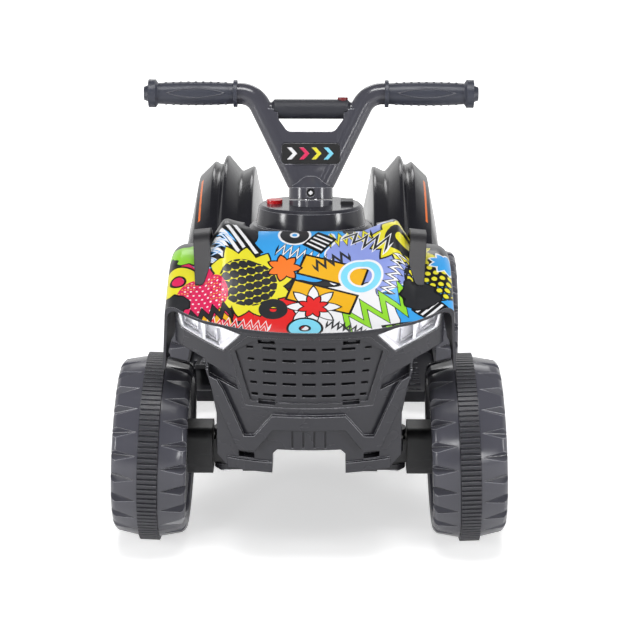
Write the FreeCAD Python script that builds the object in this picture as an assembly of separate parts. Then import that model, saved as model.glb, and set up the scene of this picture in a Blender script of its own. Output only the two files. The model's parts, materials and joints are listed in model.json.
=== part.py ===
# Kids quad bike: a moulded plastic ride-on with four wheels, a steered front end and a driven rear wheel.
# Lengths are millimetres. The front faces -Y, +Z is up, and the origin is on the floor under the middle.
import FreeCAD, Part
import math
import os

# Overall sizes
wheelbase = 420.0
axle_overhang = 120.0
wheel_radius = 100.0
wheel_width = 77.0
front_wheel_out = 75.5
rear_wheel_out = 70.0
camber_deg = 2.5

# General fits and walls
wall = 3.0
overrun = 6.0
slip = 0.4
running = 0.05

# Wheel and traction band
band_width = 20.0
band_depth = 7.0
rib_depth = 2.0
rib_count = 112
rib_tip_share = 0.55
band_side_gap = 0.2
shoulder_drop = 4.0
tread_edge_drop = 9.0
sidewall_drop = 18.0
sidewall_tuck = 5.0
rim_radius = 66.0
rim_depth = 11.0
inner_dish_depth = 8.0
lug_count = 24
lug_depth = 14.0
lug_tip_x = 11.0
lug_tip_rise = 0.5
lug_open_share = 1.0
wheel_shell = 4.0
hub_radius = 17.0
spoke_count = 6
spoke_pocket_depth = 2.5
spoke_gap_share = 0.62
axle_radius = 5.0
nut_radius = 9.0
nut_thickness = 6.0
cap_radius = 27.0
cap_height = 10.0
cap_wall = 2.0

# Chassis tub and footboards
tub_half_width = 72.0
tub_floor_z = 72.0
tub_top_z = 150.0
tub_front_setback = 46.0
tub_rear_setback = 30.0
tub_corner = 18.0
tub_rib_height = 4.0
tub_rib_count = 4
tub_nose_z = 118.0
tub_knee_ahead = 2.0
relief_half = 44.0
relief_nose_z = 130.0
relief_behind = 62.0
board_behind = 134.0
board_ahead = 118.0
board_width = 76.0
board_z = 100.0
board_thickness = 4.0
board_rim = 9.0
board_corner = 22.0
tread_rib_count = 7
tread_rib_width = 5.0
tread_rib_height = 2.0

# Steering
rake_deg = 14.0
stem_behind = 95.0
stem_lift = 5.0
column_radius = 10.0
column_rise = 14.0
kingpin_out = 18.0
kingpin_radius = 5.0
kingpin_head = 8.0
kingpin_head_height = 3.0
ear_radius = 12.0
ear_thickness = 6.0
knuckle_height = 52.0
knuckle_barrel_height = 32.0
knuckle_barrel_radius = 11.0
knuckle_block_depth = 44.0
knuckle_block_thickness = 27.0
knuckle_block_gap = 13.0
knuckle_boss_height = 13.0
steer_arm = 30.0
steer_arm_width = 16.0
steer_arm_thickness = 7.0
steer_arm_z = 108.0
tie_pin_radius = 3.5
tie_eye_radius = 8.0
tie_thickness = 8.0
tie_bar_width = 9.0
tie_window_gap = 4.0
crank_thickness = 8.0
crank_hub_radius = 15.0
crank_pin_radius = 4.0
crank_pin_gap = 0.7
crank_lift = 4.34
crank_pin_length = 15.0
foot_rise = 31.5
foot_pin_radius = 6.0
foot_pin_length = 10.0
foot_boss_radius = 13.0

# Handlebar, measured along the raked column from the foot of its collar
collar_radius = 23.5
collar_height = 12.4
collar_gap = 1.0
web_thickness = 20.0
slot_floor_t = 72.0
slot_floor_half = 25.0
slot_top_half = 35.0
slot_corner = 8.0
neck_radius = 11.0
neck_top = 24.0
arm_radius = 11.5
arm_foot_x = 14.0
arm_foot_t = 17.0
arm_corner_x = 61.0
arm_bend = 24.0
grip_t = 112.7
grip_inner_x = 79.0
grip_outer_x = 179.0
grip_core_radius = 8.5
grip_radius = 11.2
grip_swell = 1.3
grip_flange = 14.5
grip_flange_width = 4.0
grip_end_flange = 15.0
grip_end_width = 10.0
grip_knob_radius = 9.0
grip_knob_width = 5.0
grip_knob_end_share = 0.8
bar_t = 96.2
bar_core_radius = 7.5
bar_half = 50.0
pad_radius = 10.5
pad_half = 42.0
pad_end = 3.0
badge_width = 62.0
badge_height = 22.0
badge_thickness = 3.0
badge_corner = 4.0
badge_t = 48.5
bolt_t = 6.6
bolt_radius = 2.5
bolt_head_radius = 4.2
bolt_head_height = 3.0
bolt_sink = 1.5

# Dash cover, bush and switches
dash_tilt_deg = 5.5
dash_upper_radius = 56.0
dash_lower_radius = 66.0
dash_upper_z = 343.0
dash_lower_z = 322.0
dash_edge = 3.0
dash_slope = 3.0
dash_room_drop = 24.0
bush_depth = 26.0
button_x = 39.0
button_offset_y = 2.0
button_radius = 8.5
button_rise = 4.0
button_flange = 2.0
rocker_length = 20.0
rocker_width = 13.0
rocker_rise = 4.0
rocker_sink = 7.0
horn_x = 34.0
horn_radius = 5.5
horn_rise = 2.0
horn_depth = 7.0
horn_travel = 1.5

# Upper body shell and seat
shell_top_z = 312.0
shell_corner = 16.0
shell_front_behind = 20.0
shell_rear_gap = 9.6
seat_front_behind = 214.0
seat_rear_behind = 42.0
seat_edge = 14.0
seat_thickness = 16.0
seat_corner = 12.0
# Rows of place along the shell, shoulder width, and height
shell_shares = [
    (0.0, 0.86, 1.00), (0.17, 0.86, 1.00), (0.306, 0.80, 0.95), (0.41, 0.78, 0.60),
    (0.533, 0.80, 0.47), (0.74, 0.80, 0.44), (1.0, 0.78, 0.41),
]
# Rows of place along the seat, width, and thickness
seat_shares = [(0.0, 0.62, 0.45), (0.12, 0.78, 0.8), (0.45, 0.92, 0.85), (0.80, 1.0, 1.0), (1.0, 0.86, 0.7)]

# Front cowl: the hood and both front fenders in one moulding
nose_radius = 210.0
cowl_half_width = 150.0
cowl_skirt_z = 208.0
cowl_peak_z = 349.0
cowl_nose_z = 268.0
cowl_rear_behind = 106.0
cowl_corner = 16.0
cowl_soft = 7.0
arch_gap = 16.0
hood_rear_behind = 22.0
# Width shares of the hood's inner foot, peak, valley and outer corner
cowl_point_shares = [0.36, 0.593, 0.72, 0.97]
# Rows of place from nose to rear; each then gives the height shares of those four points
cowl_shares = [
    (0.00, (0.00, 0.03, -0.01, -0.02)),
    (0.28, (0.27, 0.35, 0.20, 0.18)),
    (0.59, (0.76, 0.99, 0.57, 0.53)),
    (0.80, (0.77, 0.75, 0.52, 0.47)),
    (1.00, (0.32, 0.30, 0.18, 0.11)),
]

# Front fascia, grille and headlights, as heights and half widths of the front elevation
fascia_setback = 6.0
fascia_lean = 10.0
fascia_top_z = 300.0
fascia_bottom_z = 114.0
fascia_half_width = 94.0
cheek_half_width = 136.0
cheek_z = 239.0
cheek_inner_half = 105.0
cheek_inner_z = 228.0
foot_inner_half = 37.0
foot_corner = 11.0
arch_top_z = 139.0
arch_slope = 5.0
fascia_depth = 34.0
fascia_rim = 3.5
grille_top_z = 259.0
grille_shoulder_z = 242.0
grille_bottom_z = 185.0
grille_top_half = 61.0
grille_shoulder_half = 79.0
grille_bottom_half = 64.0
grille_thickness = 5.0
grille_frame = 5.0
grille_relief = 2.0
grille_rows = 5
grille_columns = 5
slot_width = 13.5
slot_height = 2.8
slot_pitch = 19.6
slot_row_pitch = 12.4
slot_top_margin = 12.0
clip_place_share = 0.66
clip_window_width = 17.0
clip_window_height = 5.0
lens_thickness = 2.5
lamp_drop = 1.9
reflector_depth = 12.0
lamp_edge = 5.0
vent_depth = 4.0
bumper_band = 5.0
bumper_pocket = 12.0
foot_lip = 11.0
foot_lip_rise = 3.0
slit_count = 4
slit_width = 1.6
slit_pitch = 11.0
fascia_face_height = 166.0
# Corners of the front elevation as shares of the fascia's half width and of its face height
lamp_shares = [(1.444, 0.987), (0.723, 0.878), (0.917, 0.76), (1.396, 0.859)]
vent_shares = [(1.085, 0.663), (0.79, 0.594), (0.762, 0.522), (1.07, 0.59)]
band_shares = [
    (0.0, 0.38), (0.39, 0.38), (0.59, 0.237), (0.70, 0.229), (0.92, 0.51), (1.06, 0.64),
    (1.11, 0.63), (1.007, 0.44), (0.768, 0.133), (0.579, 0.139), (0.384, 0.289), (0.0, 0.289),
]
pocket_shares = [(0.76, 0.115), (0.59, 0.115), (0.59, 0.078), (0.76, 0.078)]
centre_shares = [(0.36, 0.275), (0.44, 0.165)]

# Rack straps over the cowl
strap_width = 17.0
strap_thickness = 5.0
strap_foot_x = 104.0
strap_crest_x = 112.0
strap_front_ahead = 80.0
strap_crest_behind = 14.0
strap_rear_behind = 84.0
strap_crest_z = 336.0
strap_bend = 26.0
strap_root_z = 257.0
strap_crest_share = 0.6
strap_taper_share = 1.4

# Rear fenders and tail
fender_front_ahead = 126.0
fender_tuck = 10.0
fender_outer_half = 157.0
fender_top_z = 304.0
fender_skirt_z = 205.0
fender_corner = 6.0
fender_lift_share = 0.02
# Width shares from inner wall to outer skirt: wall top, notch, fin, step, hump, shoulder, skirt
fender_x_shares = [0.14, 0.31, 0.51, 0.58, 0.67, 0.88, 0.97]
# Rows of place from front to rear; each then gives height shares at those widths
fender_shares = [
    (0.00, (0.10, 0.08, 0.10, 0.06, 0.06, 0.03, 0.02)),
    (0.25, (0.52, 0.46, 0.60, 0.50, 0.52, 0.36, 0.16)),
    (0.55, (0.82, 0.74, 0.96, 0.82, 0.88, 0.66, 0.26)),
    (0.80, (0.84, 0.76, 1.00, 0.84, 0.90, 0.70, 0.26)),
    (1.00, (0.66, 0.58, 0.80, 0.66, 0.70, 0.52, 0.16)),
]
tail_top_z = 214.0
tail_bottom_z = 96.0
tail_thickness = 5.0
tail_corner = 11.0
tail_edge = 12.0
tail_vent_count = 4
tail_vent_height = 6.0
tail_vent_pitch = 14.0
tail_light_width = 40.0
tail_light_height = 16.0
tail_light_depth = 6.0
tail_light_z = 258.0

# Drive and electrics
battery_length = 100.0
battery_width = 70.0
battery_height = 47.0
battery_behind = 190.0
strap_band_width = 22.0
strap_band_thickness = 1.6
gearbox_inner_x = -14.0
gearbox_side_gap = 6.0
gearbox_length = 92.0
gearbox_ahead = 62.56
gearbox_height = 66.0
gearbox_corner = 14.0
motor_radius = 18.0
motor_end_gap = 8.0
drive_hub_radius = 13.0
drive_hub_bite = 9.0
socket_behind = 254.0
socket_z = 130.0
socket_flange_radius = 9.0
socket_flange = 3.0
socket_barrel_radius = 6.0
socket_barrel = 12.0
socket_bore = 2.8
socket_bore_depth = 10.0
pedal_out = 40.0
pedal_width = 44.0
pedal_length = 74.0
pedal_hinge_offset = 22.0
pedal_thickness = 5.0
pedal_lift_deg = 14.0
pedal_barrel_radius = 4.5
pedal_pin_radius = 2.0
pedal_lug_width = 6.0
switch_place_share = 0.72
switch_width = 14.0
switch_length = 20.0
switch_height = 3.0
screw_head_radius = 4.0
screw_head_height = 1.8
screw_radius = 1.8
screw_length = 11.0

# Places that follow from the sizes above
half_length = wheelbase / 2 + axle_overhang
front_axle_y = -wheelbase / 2
rear_axle_y = wheelbase / 2
tub_front_y = tub_front_setback - half_length
tub_rear_y = half_length - tub_rear_setback
tub_knee_y = front_axle_y - tub_knee_ahead
relief_end_y = front_axle_y + relief_behind
board_front_y = front_axle_y + board_behind
board_rear_y = rear_axle_y - board_ahead
board_outer_x = tub_half_width + board_width
stem_y = front_axle_y + stem_behind
kingpin_x = tub_half_width + kingpin_out
front_track_half = kingpin_x + front_wheel_out
rear_track_half = tub_half_width + rear_wheel_out
shell_front_y = front_axle_y + shell_front_behind
shell_rear_y = tub_rear_y - shell_rear_gap
seat_front_y = front_axle_y + seat_front_behind
seat_rear_y = rear_axle_y + seat_rear_behind
seat_half_width = tub_half_width - seat_edge
cowl_rear_y = front_axle_y + cowl_rear_behind
hood_rear_y = front_axle_y + hood_rear_behind
strap_front_y = front_axle_y - strap_front_ahead
strap_crest_y = front_axle_y + strap_crest_behind
strap_rear_y = front_axle_y + strap_rear_behind
fender_front_y = rear_axle_y - fender_front_ahead
fender_rear_y = half_length - tail_light_depth / 2
fender_inner_half = tub_half_width - fender_tuck
tail_half_width = tub_half_width - tail_edge
battery_y = front_axle_y + battery_behind
gearbox_outer_x = tub_half_width - gearbox_side_gap
motor_length = tub_half_width + gearbox_inner_x - 2 * wall - motor_end_gap
socket_y = front_axle_y + socket_behind
pedal_x = -tub_half_width - pedal_out
pedal_hinge_y = (board_front_y + board_rear_y) / 2 + pedal_hinge_offset
pedal_hinge_z = board_z + board_thickness + pedal_barrel_radius + slip
tie_bottom = steer_arm_z + steer_arm_thickness + slip
camber = math.radians(camber_deg)
rake = math.radians(rake_deg)
stem_z = dash_upper_z + stem_lift
crank_drop = (stem_z - tie_bottom - tie_thickness - crank_lift) / math.cos(rake)
foot_drop = (stem_z - tub_floor_z - foot_rise) / math.cos(rake)
front_axle_z = wheel_radius * math.cos(camber) + band_width / 2 * math.sin(camber)
rear_axle_z = wheel_radius
wheel_half = wheel_width / 2
hub_face = wheel_half - rim_depth - nut_thickness
nose_centre_y = nose_radius - half_length
X_AXIS = FreeCAD.Vector(1, 0, 0)
Y_AXIS = FreeCAD.Vector(0, 1, 0)
Z_AXIS = FreeCAD.Vector(0, 0, 1)
ORIGIN = FreeCAD.Vector(0, 0, 0)
STEM_FOOT = FreeCAD.Vector(0, stem_y, stem_z)
LOFT_DEGREE = 3


# Shape helpers

def vec(x, y, z):
    return FreeCAD.Vector(x, y, z)


def block(low, high):
    size = high.sub(low)
    return Part.makeBox(size.x, size.y, size.z, low)


def rod(radius, start, end):
    along = end.sub(start)
    return Part.makeCylinder(radius, along.Length, start, along)


def closed_face(points):
    return Part.Face(Part.makePolygon(points + [points[0]]))


def prism(points, along):
    return closed_face(points).extrude(along)


def rounded_wire(points, radius):
    """Closed outline of straight runs whose corners are arcs; a corner of radius 0 stays sharp."""
    edges = []
    ends = []
    count = len(points)
    for index, corner in enumerate(points):
        size = radius[index] if isinstance(radius, list) else radius
        before = points[index - 1].sub(corner).normalize()
        after = points[(index + 1) % count].sub(corner).normalize()
        if size == 0:
            ends.append((corner, None, corner))
            continue
        half_angle = before.getAngle(after) / 2
        reach = size / math.tan(half_angle)
        middle_dir = before.add(after).normalize()
        centre = corner.add(middle_dir.multiply(size / math.sin(half_angle)))
        inward = corner.sub(centre).normalize()
        middle = centre.add(inward.multiply(size))
        ends.append((corner.add(before.multiply(reach)), middle, corner.add(after.multiply(reach))))
    for index, (start, middle, end) in enumerate(ends):
        if middle is not None:
            edges.append(Part.Arc(start, middle, end).toShape())
        edges.append(Part.LineSegment(end, ends[(index + 1) % count][0]).toShape())
    return Part.Wire(edges)


def rounded_prism(points, radius, along):
    return Part.Face(rounded_wire(points, radius)).extrude(along)


def loft(wires):
    """Solid through like sections; a cubic surface keeps its later cuts sound."""
    ruled = False
    closed = False
    return Part.makeLoft(wires, True, ruled, closed, LOFT_DEGREE)


def revolve_x(points):
    """Solid of revolution about the X axis from (x, radius) points."""
    face = closed_face([vec(x, 0, radius) for x, radius in points])
    return face.revolve(ORIGIN, X_AXIS, 360)


def turned(shape, centre, axis, degrees):
    copy = shape.copy()
    copy.rotate(centre, axis, degrees)
    return copy


def moved(shape, offset):
    copy = shape.copy()
    copy.translate(offset)
    return copy


def mirrored(shape):
    return shape.mirror(ORIGIN, X_AXIS)


def joined(shapes):
    return shapes[0].fuse(shapes[1:]).removeSplitter()


def on_column(shape):
    """Takes a shape built upright, the foot of the collar at its origin, to its raked place."""
    return moved(turned(shape, ORIGIN, X_AXIS, -rake_deg), STEM_FOOT)


# Wheels: hollow mouldings with a ribbed band round the middle of the tread

def wheel_shape():
    groove = band_width / 2 + band_side_gap
    crown = wheel_radius - shoulder_drop
    edge = wheel_radius - tread_edge_drop
    bulge = wheel_radius - sidewall_drop
    shoulder_x = wheel_half - sidewall_tuck
    floor = wheel_radius - band_depth
    bore = axle_radius + running
    lip = (rim_radius + bulge) / 2
    dish = wheel_half - rim_depth
    inner_dish = wheel_half - inner_dish_depth
    right = [vec(groove, 0, floor), vec(groove, 0, crown), vec(shoulder_x, 0, edge)]
    outline = [Part.LineSegment(vec(-groove, 0, floor), right[0]).toShape()]
    outline += [Part.LineSegment(a, b).toShape() for a, b in zip(right, right[1:])]
    outer_lip = vec(shoulder_x, 0, lip)
    outline.append(Part.Arc(right[2], vec(wheel_half, 0, bulge), outer_lip).toShape())
    rest = [outer_lip, vec(dish, 0, rim_radius), vec(dish, 0, cap_radius),
            vec(hub_face, 0, cap_radius - cap_wall), vec(hub_face, 0, bore),
            vec(-inner_dish - slip, 0, bore), vec(-inner_dish - slip, 0, hub_radius),
            vec(-inner_dish, 0, hub_radius + slip), vec(-inner_dish, 0, rim_radius),
            vec(-shoulder_x, 0, lip)]
    outline += [Part.LineSegment(a, b).toShape() for a, b in zip(rest, rest[1:])]
    left_edge = vec(-shoulder_x, 0, edge)
    outline.append(Part.Arc(rest[-1], vec(-wheel_half, 0, bulge), left_edge).toShape())
    left = [left_edge, vec(-groove, 0, crown), vec(-groove, 0, floor)]
    outline += [Part.LineSegment(a, b).toShape() for a, b in zip(left, left[1:])]
    solid = Part.Face(Part.Wire(outline)).revolve(ORIGIN, X_AXIS, 360)
    hollow_out = wheel_radius - tread_edge_drop - lug_depth
    hollow_x = dish - spoke_pocket_depth - wheel_shell
    hollow_in = cap_radius + wheel_shell
    hollow = revolve_x([(-inner_dish + wheel_shell, hollow_in), (hollow_x, hollow_in),
                        (hollow_x, hollow_out), (-inner_dish + wheel_shell, hollow_out)])
    return solid.cut(lug_notches() + spoke_pockets() + [hollow])


def lug_notches():
    """Wedges that open towards the sidewall and run out beside the band, on both shoulders."""
    half_open = math.radians(180 / lug_count * lug_open_share)
    crown = wheel_radius - shoulder_drop
    reach = wheel_half + overrun
    tip = vec(lug_tip_x, 0, crown + lug_tip_rise)
    floor = vec(reach, 0, wheel_radius - tread_edge_drop - lug_depth)
    wide = crown * math.sin(half_open) * reach / wheel_half
    corners = [vec(reach, side * wide, crown + rib_depth) for side in (-1, 1)]
    faces = [closed_face(three) for three in ([tip, corners[0], floor], [tip, floor, corners[1]],
                                              [tip, corners[1], corners[0]], corners + [floor])]
    wedge = Part.Solid(Part.Shell(faces))
    if wedge.Volume < 0:
        wedge.reverse()
    other = wedge.mirror(ORIGIN, X_AXIS)
    step = 360 / lug_count
    notches = [turned(wedge, ORIGIN, X_AXIS, step * index) for index in range(lug_count)]
    return notches + [turned(other, ORIGIN, X_AXIS, step * (index + 0.5)) for index in range(lug_count)]


def spoke_pockets():
    """Shallow windows between the spokes of the moulded rim."""
    inner = cap_radius + cap_wall
    outer = rim_radius - cap_wall
    sweep = 360 / spoke_count * spoke_gap_share
    floor = wheel_half - rim_depth - spoke_pocket_depth
    ring = revolve_sector(inner, outer, floor, floor + spoke_pocket_depth + overrun, sweep)
    return [turned(ring, ORIGIN, X_AXIS, 360 / spoke_count * index) for index in range(spoke_count)]


def revolve_sector(inner, outer, low, high, sweep):
    face = closed_face([vec(low, 0, inner), vec(high, 0, inner), vec(high, 0, outer), vec(low, 0, outer)])
    return face.revolve(ORIGIN, X_AXIS, sweep)


def band_shape():
    """Ring with fine cross ribs: a flat tip and a V groove for each rib, one tip flat on the floor."""
    pitch = 2 * math.pi / rib_count
    half_tip = pitch * rib_tip_share / 2
    tip_radius = wheel_radius / math.cos(half_tip)
    points = []
    for index in range(rib_count):
        middle = -math.pi / 2 + pitch * index
        for angle, radius in ((middle - half_tip, tip_radius), (middle + half_tip, tip_radius),
                              (middle + pitch / 2, wheel_radius - rib_depth)):
            points.append(vec(-band_width / 2, radius * math.cos(angle), radius * math.sin(angle)))
    inner = rod(wheel_radius - band_depth, vec(-band_width, 0, 0), vec(band_width, 0, 0))
    return prism(points, vec(band_width, 0, 0)).cut(inner)


def cap_shape():
    """Hub cap: a hollow dome clipped over the axle nut."""
    seat = wheel_half - rim_depth
    rise = cap_height - cap_wall
    shoulder = cap_radius - cap_wall
    inner = nut_radius + cap_wall
    return revolve_x([(seat, cap_radius), (seat + cap_wall, cap_radius), (seat + rise, shoulder - cap_wall),
                      (seat + cap_height, inner), (seat + cap_height, 0), (seat + rise, 0),
                      (seat + rise, inner), (seat, inner + cap_wall)])


def nut_shape(start, bore):
    """Six-sided nut on the X axis."""
    turns = [math.pi / 3 * side for side in range(6)]
    points = [vec(start, nut_radius * math.cos(turn), nut_radius * math.sin(turn)) for turn in turns]
    nut = prism(points, vec(nut_thickness, 0, 0))
    return nut.cut(rod(bore, vec(start - overrun, 0, 0), vec(start + nut_thickness + overrun, 0, 0)))


def at_wheel(shape, side, front):
    """Places a left-hand wheel piece at one of the four corners."""
    if front:
        leaned = turned(shape, ORIGIN, Y_AXIS, -camber_deg)
        placed = moved(leaned, vec(front_track_half, front_axle_y, front_axle_z))
    else:
        placed = moved(shape, vec(rear_track_half, rear_axle_y, rear_axle_z))
    return placed if side == "left" else mirrored(placed)


# Chassis: a moulded tub with footboards, kingpin ears and the foot bearing of the column

def column_point(t, forward=0.0):
    """Point at height t along the column, set forward of its axis."""
    return STEM_FOOT.add(vec(0, t * math.sin(rake) - forward * math.cos(rake),
                             t * math.cos(rake) + forward * math.sin(rake)))


def tub_outline(inset):
    x = tub_half_width - inset
    front = tub_front_y + inset
    rear = tub_rear_y - inset
    return [vec(-x, front, 0), vec(x, front, 0), vec(x, rear, 0), vec(-x, rear, 0)]


def tub_profile(inset):
    """Side view of the tub as a solid: a flat floor that slopes up to the nose."""
    x = tub_half_width + overrun
    low = tub_floor_z + inset
    high = tub_top_z + (overrun if inset else 0)
    nose = tub_nose_z + inset
    points = [vec(-x, tub_front_y, high), vec(-x, tub_rear_y, high), vec(-x, tub_rear_y, low),
              vec(-x, tub_knee_y, low), vec(-x, tub_front_y, nose)]
    return prism(points, vec(2 * x, 0, 0))


def nose_relief(grow):
    """Space under the middle of the nose, between the two bumper feet."""
    x = relief_half + grow
    front = tub_front_y - overrun
    end = relief_end_y + grow
    points = [vec(-x, front, 0), vec(-x, end, 0), vec(-x, end, tub_floor_z + grow),
              vec(-x, front, relief_nose_z + grow)]
    return prism(points, vec(2 * x, 0, 0))


def tub_solid(inset):
    tall = vec(0, 0, tub_top_z + overrun)
    plan = rounded_prism(tub_outline(inset), tub_corner - inset, tall)
    return plan.common(tub_profile(inset)).cut(nose_relief(inset))


def tub_shape():
    tub = tub_solid(0).cut(tub_solid(wall))
    pieces = [tub] + floor_ribs() + [footboard(side) for side in (1, -1)]
    pieces += [kingpin_ear(side, low) for side in (1, -1) for low in ear_heights()]
    boss = rod(foot_boss_radius, column_point(-foot_drop - foot_pin_length - 2 * foot_boss_radius),
               column_point(-foot_drop - slip))
    pieces.append(boss.common(tub_solid(0)))
    body = joined(pieces)
    bearing = rod(foot_pin_radius + running, column_point(-foot_drop - foot_pin_length - slip),
                  column_point(-foot_drop + overrun))
    cuts = [bearing, tie_window()] + kingpin_holes() + axle_holes()
    cuts += [screw_shank(x, z) for x, z in screw_places()]
    return body.cut(cuts)


def ear_heights():
    middle = front_axle_z
    gap = knuckle_barrel_height / 2 + slip
    return (middle - gap - ear_thickness, middle + gap)


def kingpin_ear(side, low):
    """Lug that carries one end of a kingpin: straight sides and a round end."""
    start = vec(side * (tub_half_width - wall / 2), front_axle_y, low)
    centre = vec(side * kingpin_x, front_axle_y, low)
    lower = vec(min(start.x, centre.x), front_axle_y - ear_radius, low)
    upper = vec(max(start.x, centre.x), front_axle_y + ear_radius, low + ear_thickness)
    return block(lower, upper).fuse(rod(ear_radius, centre, centre.add(vec(0, 0, ear_thickness))))


def kingpin_holes():
    low, high = ear_heights()
    return [rod(kingpin_radius, vec(side * kingpin_x, front_axle_y, low - overrun),
                vec(side * kingpin_x, front_axle_y, high + ear_thickness + overrun)) for side in (1, -1)]


def tie_window():
    """Slot through both side walls that the tie rod runs in."""
    x = tub_half_width + overrun
    y = front_axle_y - steer_arm
    low = vec(-x, y - tie_bar_width, tie_bottom - tie_window_gap)
    return block(low, vec(x, y + tie_bar_width, tie_bottom + tie_thickness + tie_window_gap))


def axle_holes():
    start = vec(-tub_half_width - overrun, rear_axle_y, rear_axle_z)
    wide = vec(tub_half_width - wall - overrun, rear_axle_y, rear_axle_z)
    end = vec(tub_half_width + overrun, rear_axle_y, rear_axle_z)
    socket = vec(tub_half_width - wall - overrun, socket_y, socket_z)
    socket_end = vec(tub_half_width + overrun, socket_y, socket_z)
    return [rod(axle_radius, start, end), rod(drive_hub_radius + slip, wide, end),
            rod(socket_barrel_radius, socket, socket_end)]


def floor_ribs():
    """Cross ribs on the floor of the tub."""
    step = (tub_rear_y - relief_end_y) / (tub_rib_count + 1)
    x = tub_half_width - wall / 2
    low = tub_floor_z + wall / 2
    high = tub_floor_z + wall + tub_rib_height
    places = [relief_end_y + step * (index + 1) for index in range(tub_rib_count)]
    return [block(vec(-x, y - wall / 2, low), vec(x, y + wall / 2, high)) for y in places]


def footboard(side):
    """Shelf for one foot: a thin floor, a raised rim and anti-slip ribs."""
    inner_x = tub_half_width - wall / 2
    points = [vec(inner_x, board_front_y, 0), vec(board_outer_x, board_front_y, 0),
              vec(board_outer_x, board_rear_y, 0), vec(inner_x, board_rear_y, 0)]
    radii = [0, board_corner, board_corner, 0]
    tall = board_thickness + board_rim
    shelf = moved(rounded_prism(points, radii, vec(0, 0, tall)), vec(0, 0, board_z))
    inset = [vec(inner_x, board_front_y + wall, 0), vec(board_outer_x - wall, board_front_y + wall, 0),
             vec(board_outer_x - wall, board_rear_y - wall, 0), vec(inner_x, board_rear_y - wall, 0)]
    inner_radii = [0, board_corner - wall, board_corner - wall, 0]
    hollow = rounded_prism(inset, inner_radii, vec(0, 0, tall))
    shelf = shelf.cut(moved(hollow, vec(0, 0, board_z + board_thickness)))
    span = board_rear_y - board_front_y - 2 * board_corner
    if side > 0:
        step = span / tread_rib_count
        for index in range(tread_rib_count):
            y = board_front_y + board_corner + step * (index + 0.5)
            low = vec(inner_x + board_corner, y - tread_rib_width / 2, board_z + board_thickness / 2)
            high = vec(board_outer_x - board_corner, y + tread_rib_width / 2,
                       board_z + board_thickness + tread_rib_height)
            shelf = shelf.fuse(block(low, high))
        return shelf
    shelf = mirrored(shelf)
    return shelf.fuse(pedal_lugs())


# Steering: column with crank, tie rod, kingpins, knuckles and spindles

def column_shape():
    """Steel column with a crank whose pin points down, and a thinner foot that turns in the tub."""
    shaft = rod(column_radius, column_point(-foot_drop), column_point(column_rise))
    bottom = -crank_drop - crank_thickness
    hub = rod(crank_hub_radius, column_point(bottom), column_point(-crank_drop))
    foot = rod(foot_pin_radius, column_point(-foot_drop - foot_pin_length), column_point(-foot_drop))
    pin_top = column_point(-crank_drop, steer_arm)
    pin = rod(crank_pin_radius, column_point(bottom - crank_pin_length, steer_arm), pin_top)
    width = 2 * crank_pin_radius
    eye = rod(width, column_point(bottom, steer_arm), pin_top)
    arm = block(vec(-width, -steer_arm, bottom), vec(width, 0, -crank_drop))
    column = joined([shaft, hub, foot, pin, eye, on_column(arm)])
    return column.cut(bolt_hole())


def bolt_hole():
    """Cross hole for the stem bolt, in place."""
    reach = collar_radius + overrun
    return on_column(rod(bolt_radius, vec(0, -reach, bolt_t), vec(0, reach, bolt_t)))


def tie_rod_shape():
    """Bar between the knuckle arms, with an eye at each end and a lug for the crank pin."""
    y = front_axle_y - steer_arm
    eyes = [rod(tie_eye_radius, vec(side * kingpin_x, y, tie_bottom),
                vec(side * kingpin_x, y, tie_bottom + tie_thickness)) for side in (1, -1)]
    bar = block(vec(-kingpin_x, y - tie_bar_width / 2, tie_bottom),
                vec(kingpin_x, y + tie_bar_width / 2, tie_bottom + tie_thickness))
    pin = column_point(-crank_drop - crank_thickness - crank_pin_length / 2, steer_arm)
    half = tie_eye_radius + wall
    reach = pin.y + half
    lug_points = [vec(-half, y, tie_bottom), vec(half, y, tie_bottom),
                  vec(half, reach, tie_bottom), vec(-half, reach, tie_bottom)]
    lug = rounded_prism(lug_points, [0, 0, tie_eye_radius, tie_eye_radius], vec(0, 0, tie_thickness))
    body = joined([bar, lug] + eyes)
    holes = [rod(tie_pin_radius + running, vec(side * kingpin_x, y, tie_bottom - overrun),
                 vec(side * kingpin_x, y, tie_bottom + tie_thickness + overrun)) for side in (1, -1)]
    crank_hole = rod(crank_pin_radius + crank_pin_gap,
                     column_point(-crank_drop - crank_thickness - crank_pin_length - overrun, steer_arm),
                     column_point(-crank_drop, steer_arm))
    return body.cut(holes + [crank_hole])


def kingpins_shape():
    low, high = ear_heights()
    top = high + ear_thickness
    pins = []
    for side in (1, -1):
        x = side * kingpin_x
        shank = rod(kingpin_radius, vec(x, front_axle_y, low), vec(x, front_axle_y, top))
        seats = [vec(x, front_axle_y, z) for z in (low - kingpin_head_height, top)]
        heads = [rod(kingpin_head, seat, seat.add(vec(0, 0, kingpin_head_height))) for seat in seats]
        pins.append(joined([shank] + heads))
    return Part.makeCompound(pins)


def spindle_point(x):
    """Point on the left front spindle's axis."""
    return vec(x, front_axle_y, front_axle_z + (x - front_track_half) * math.tan(camber))


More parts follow.
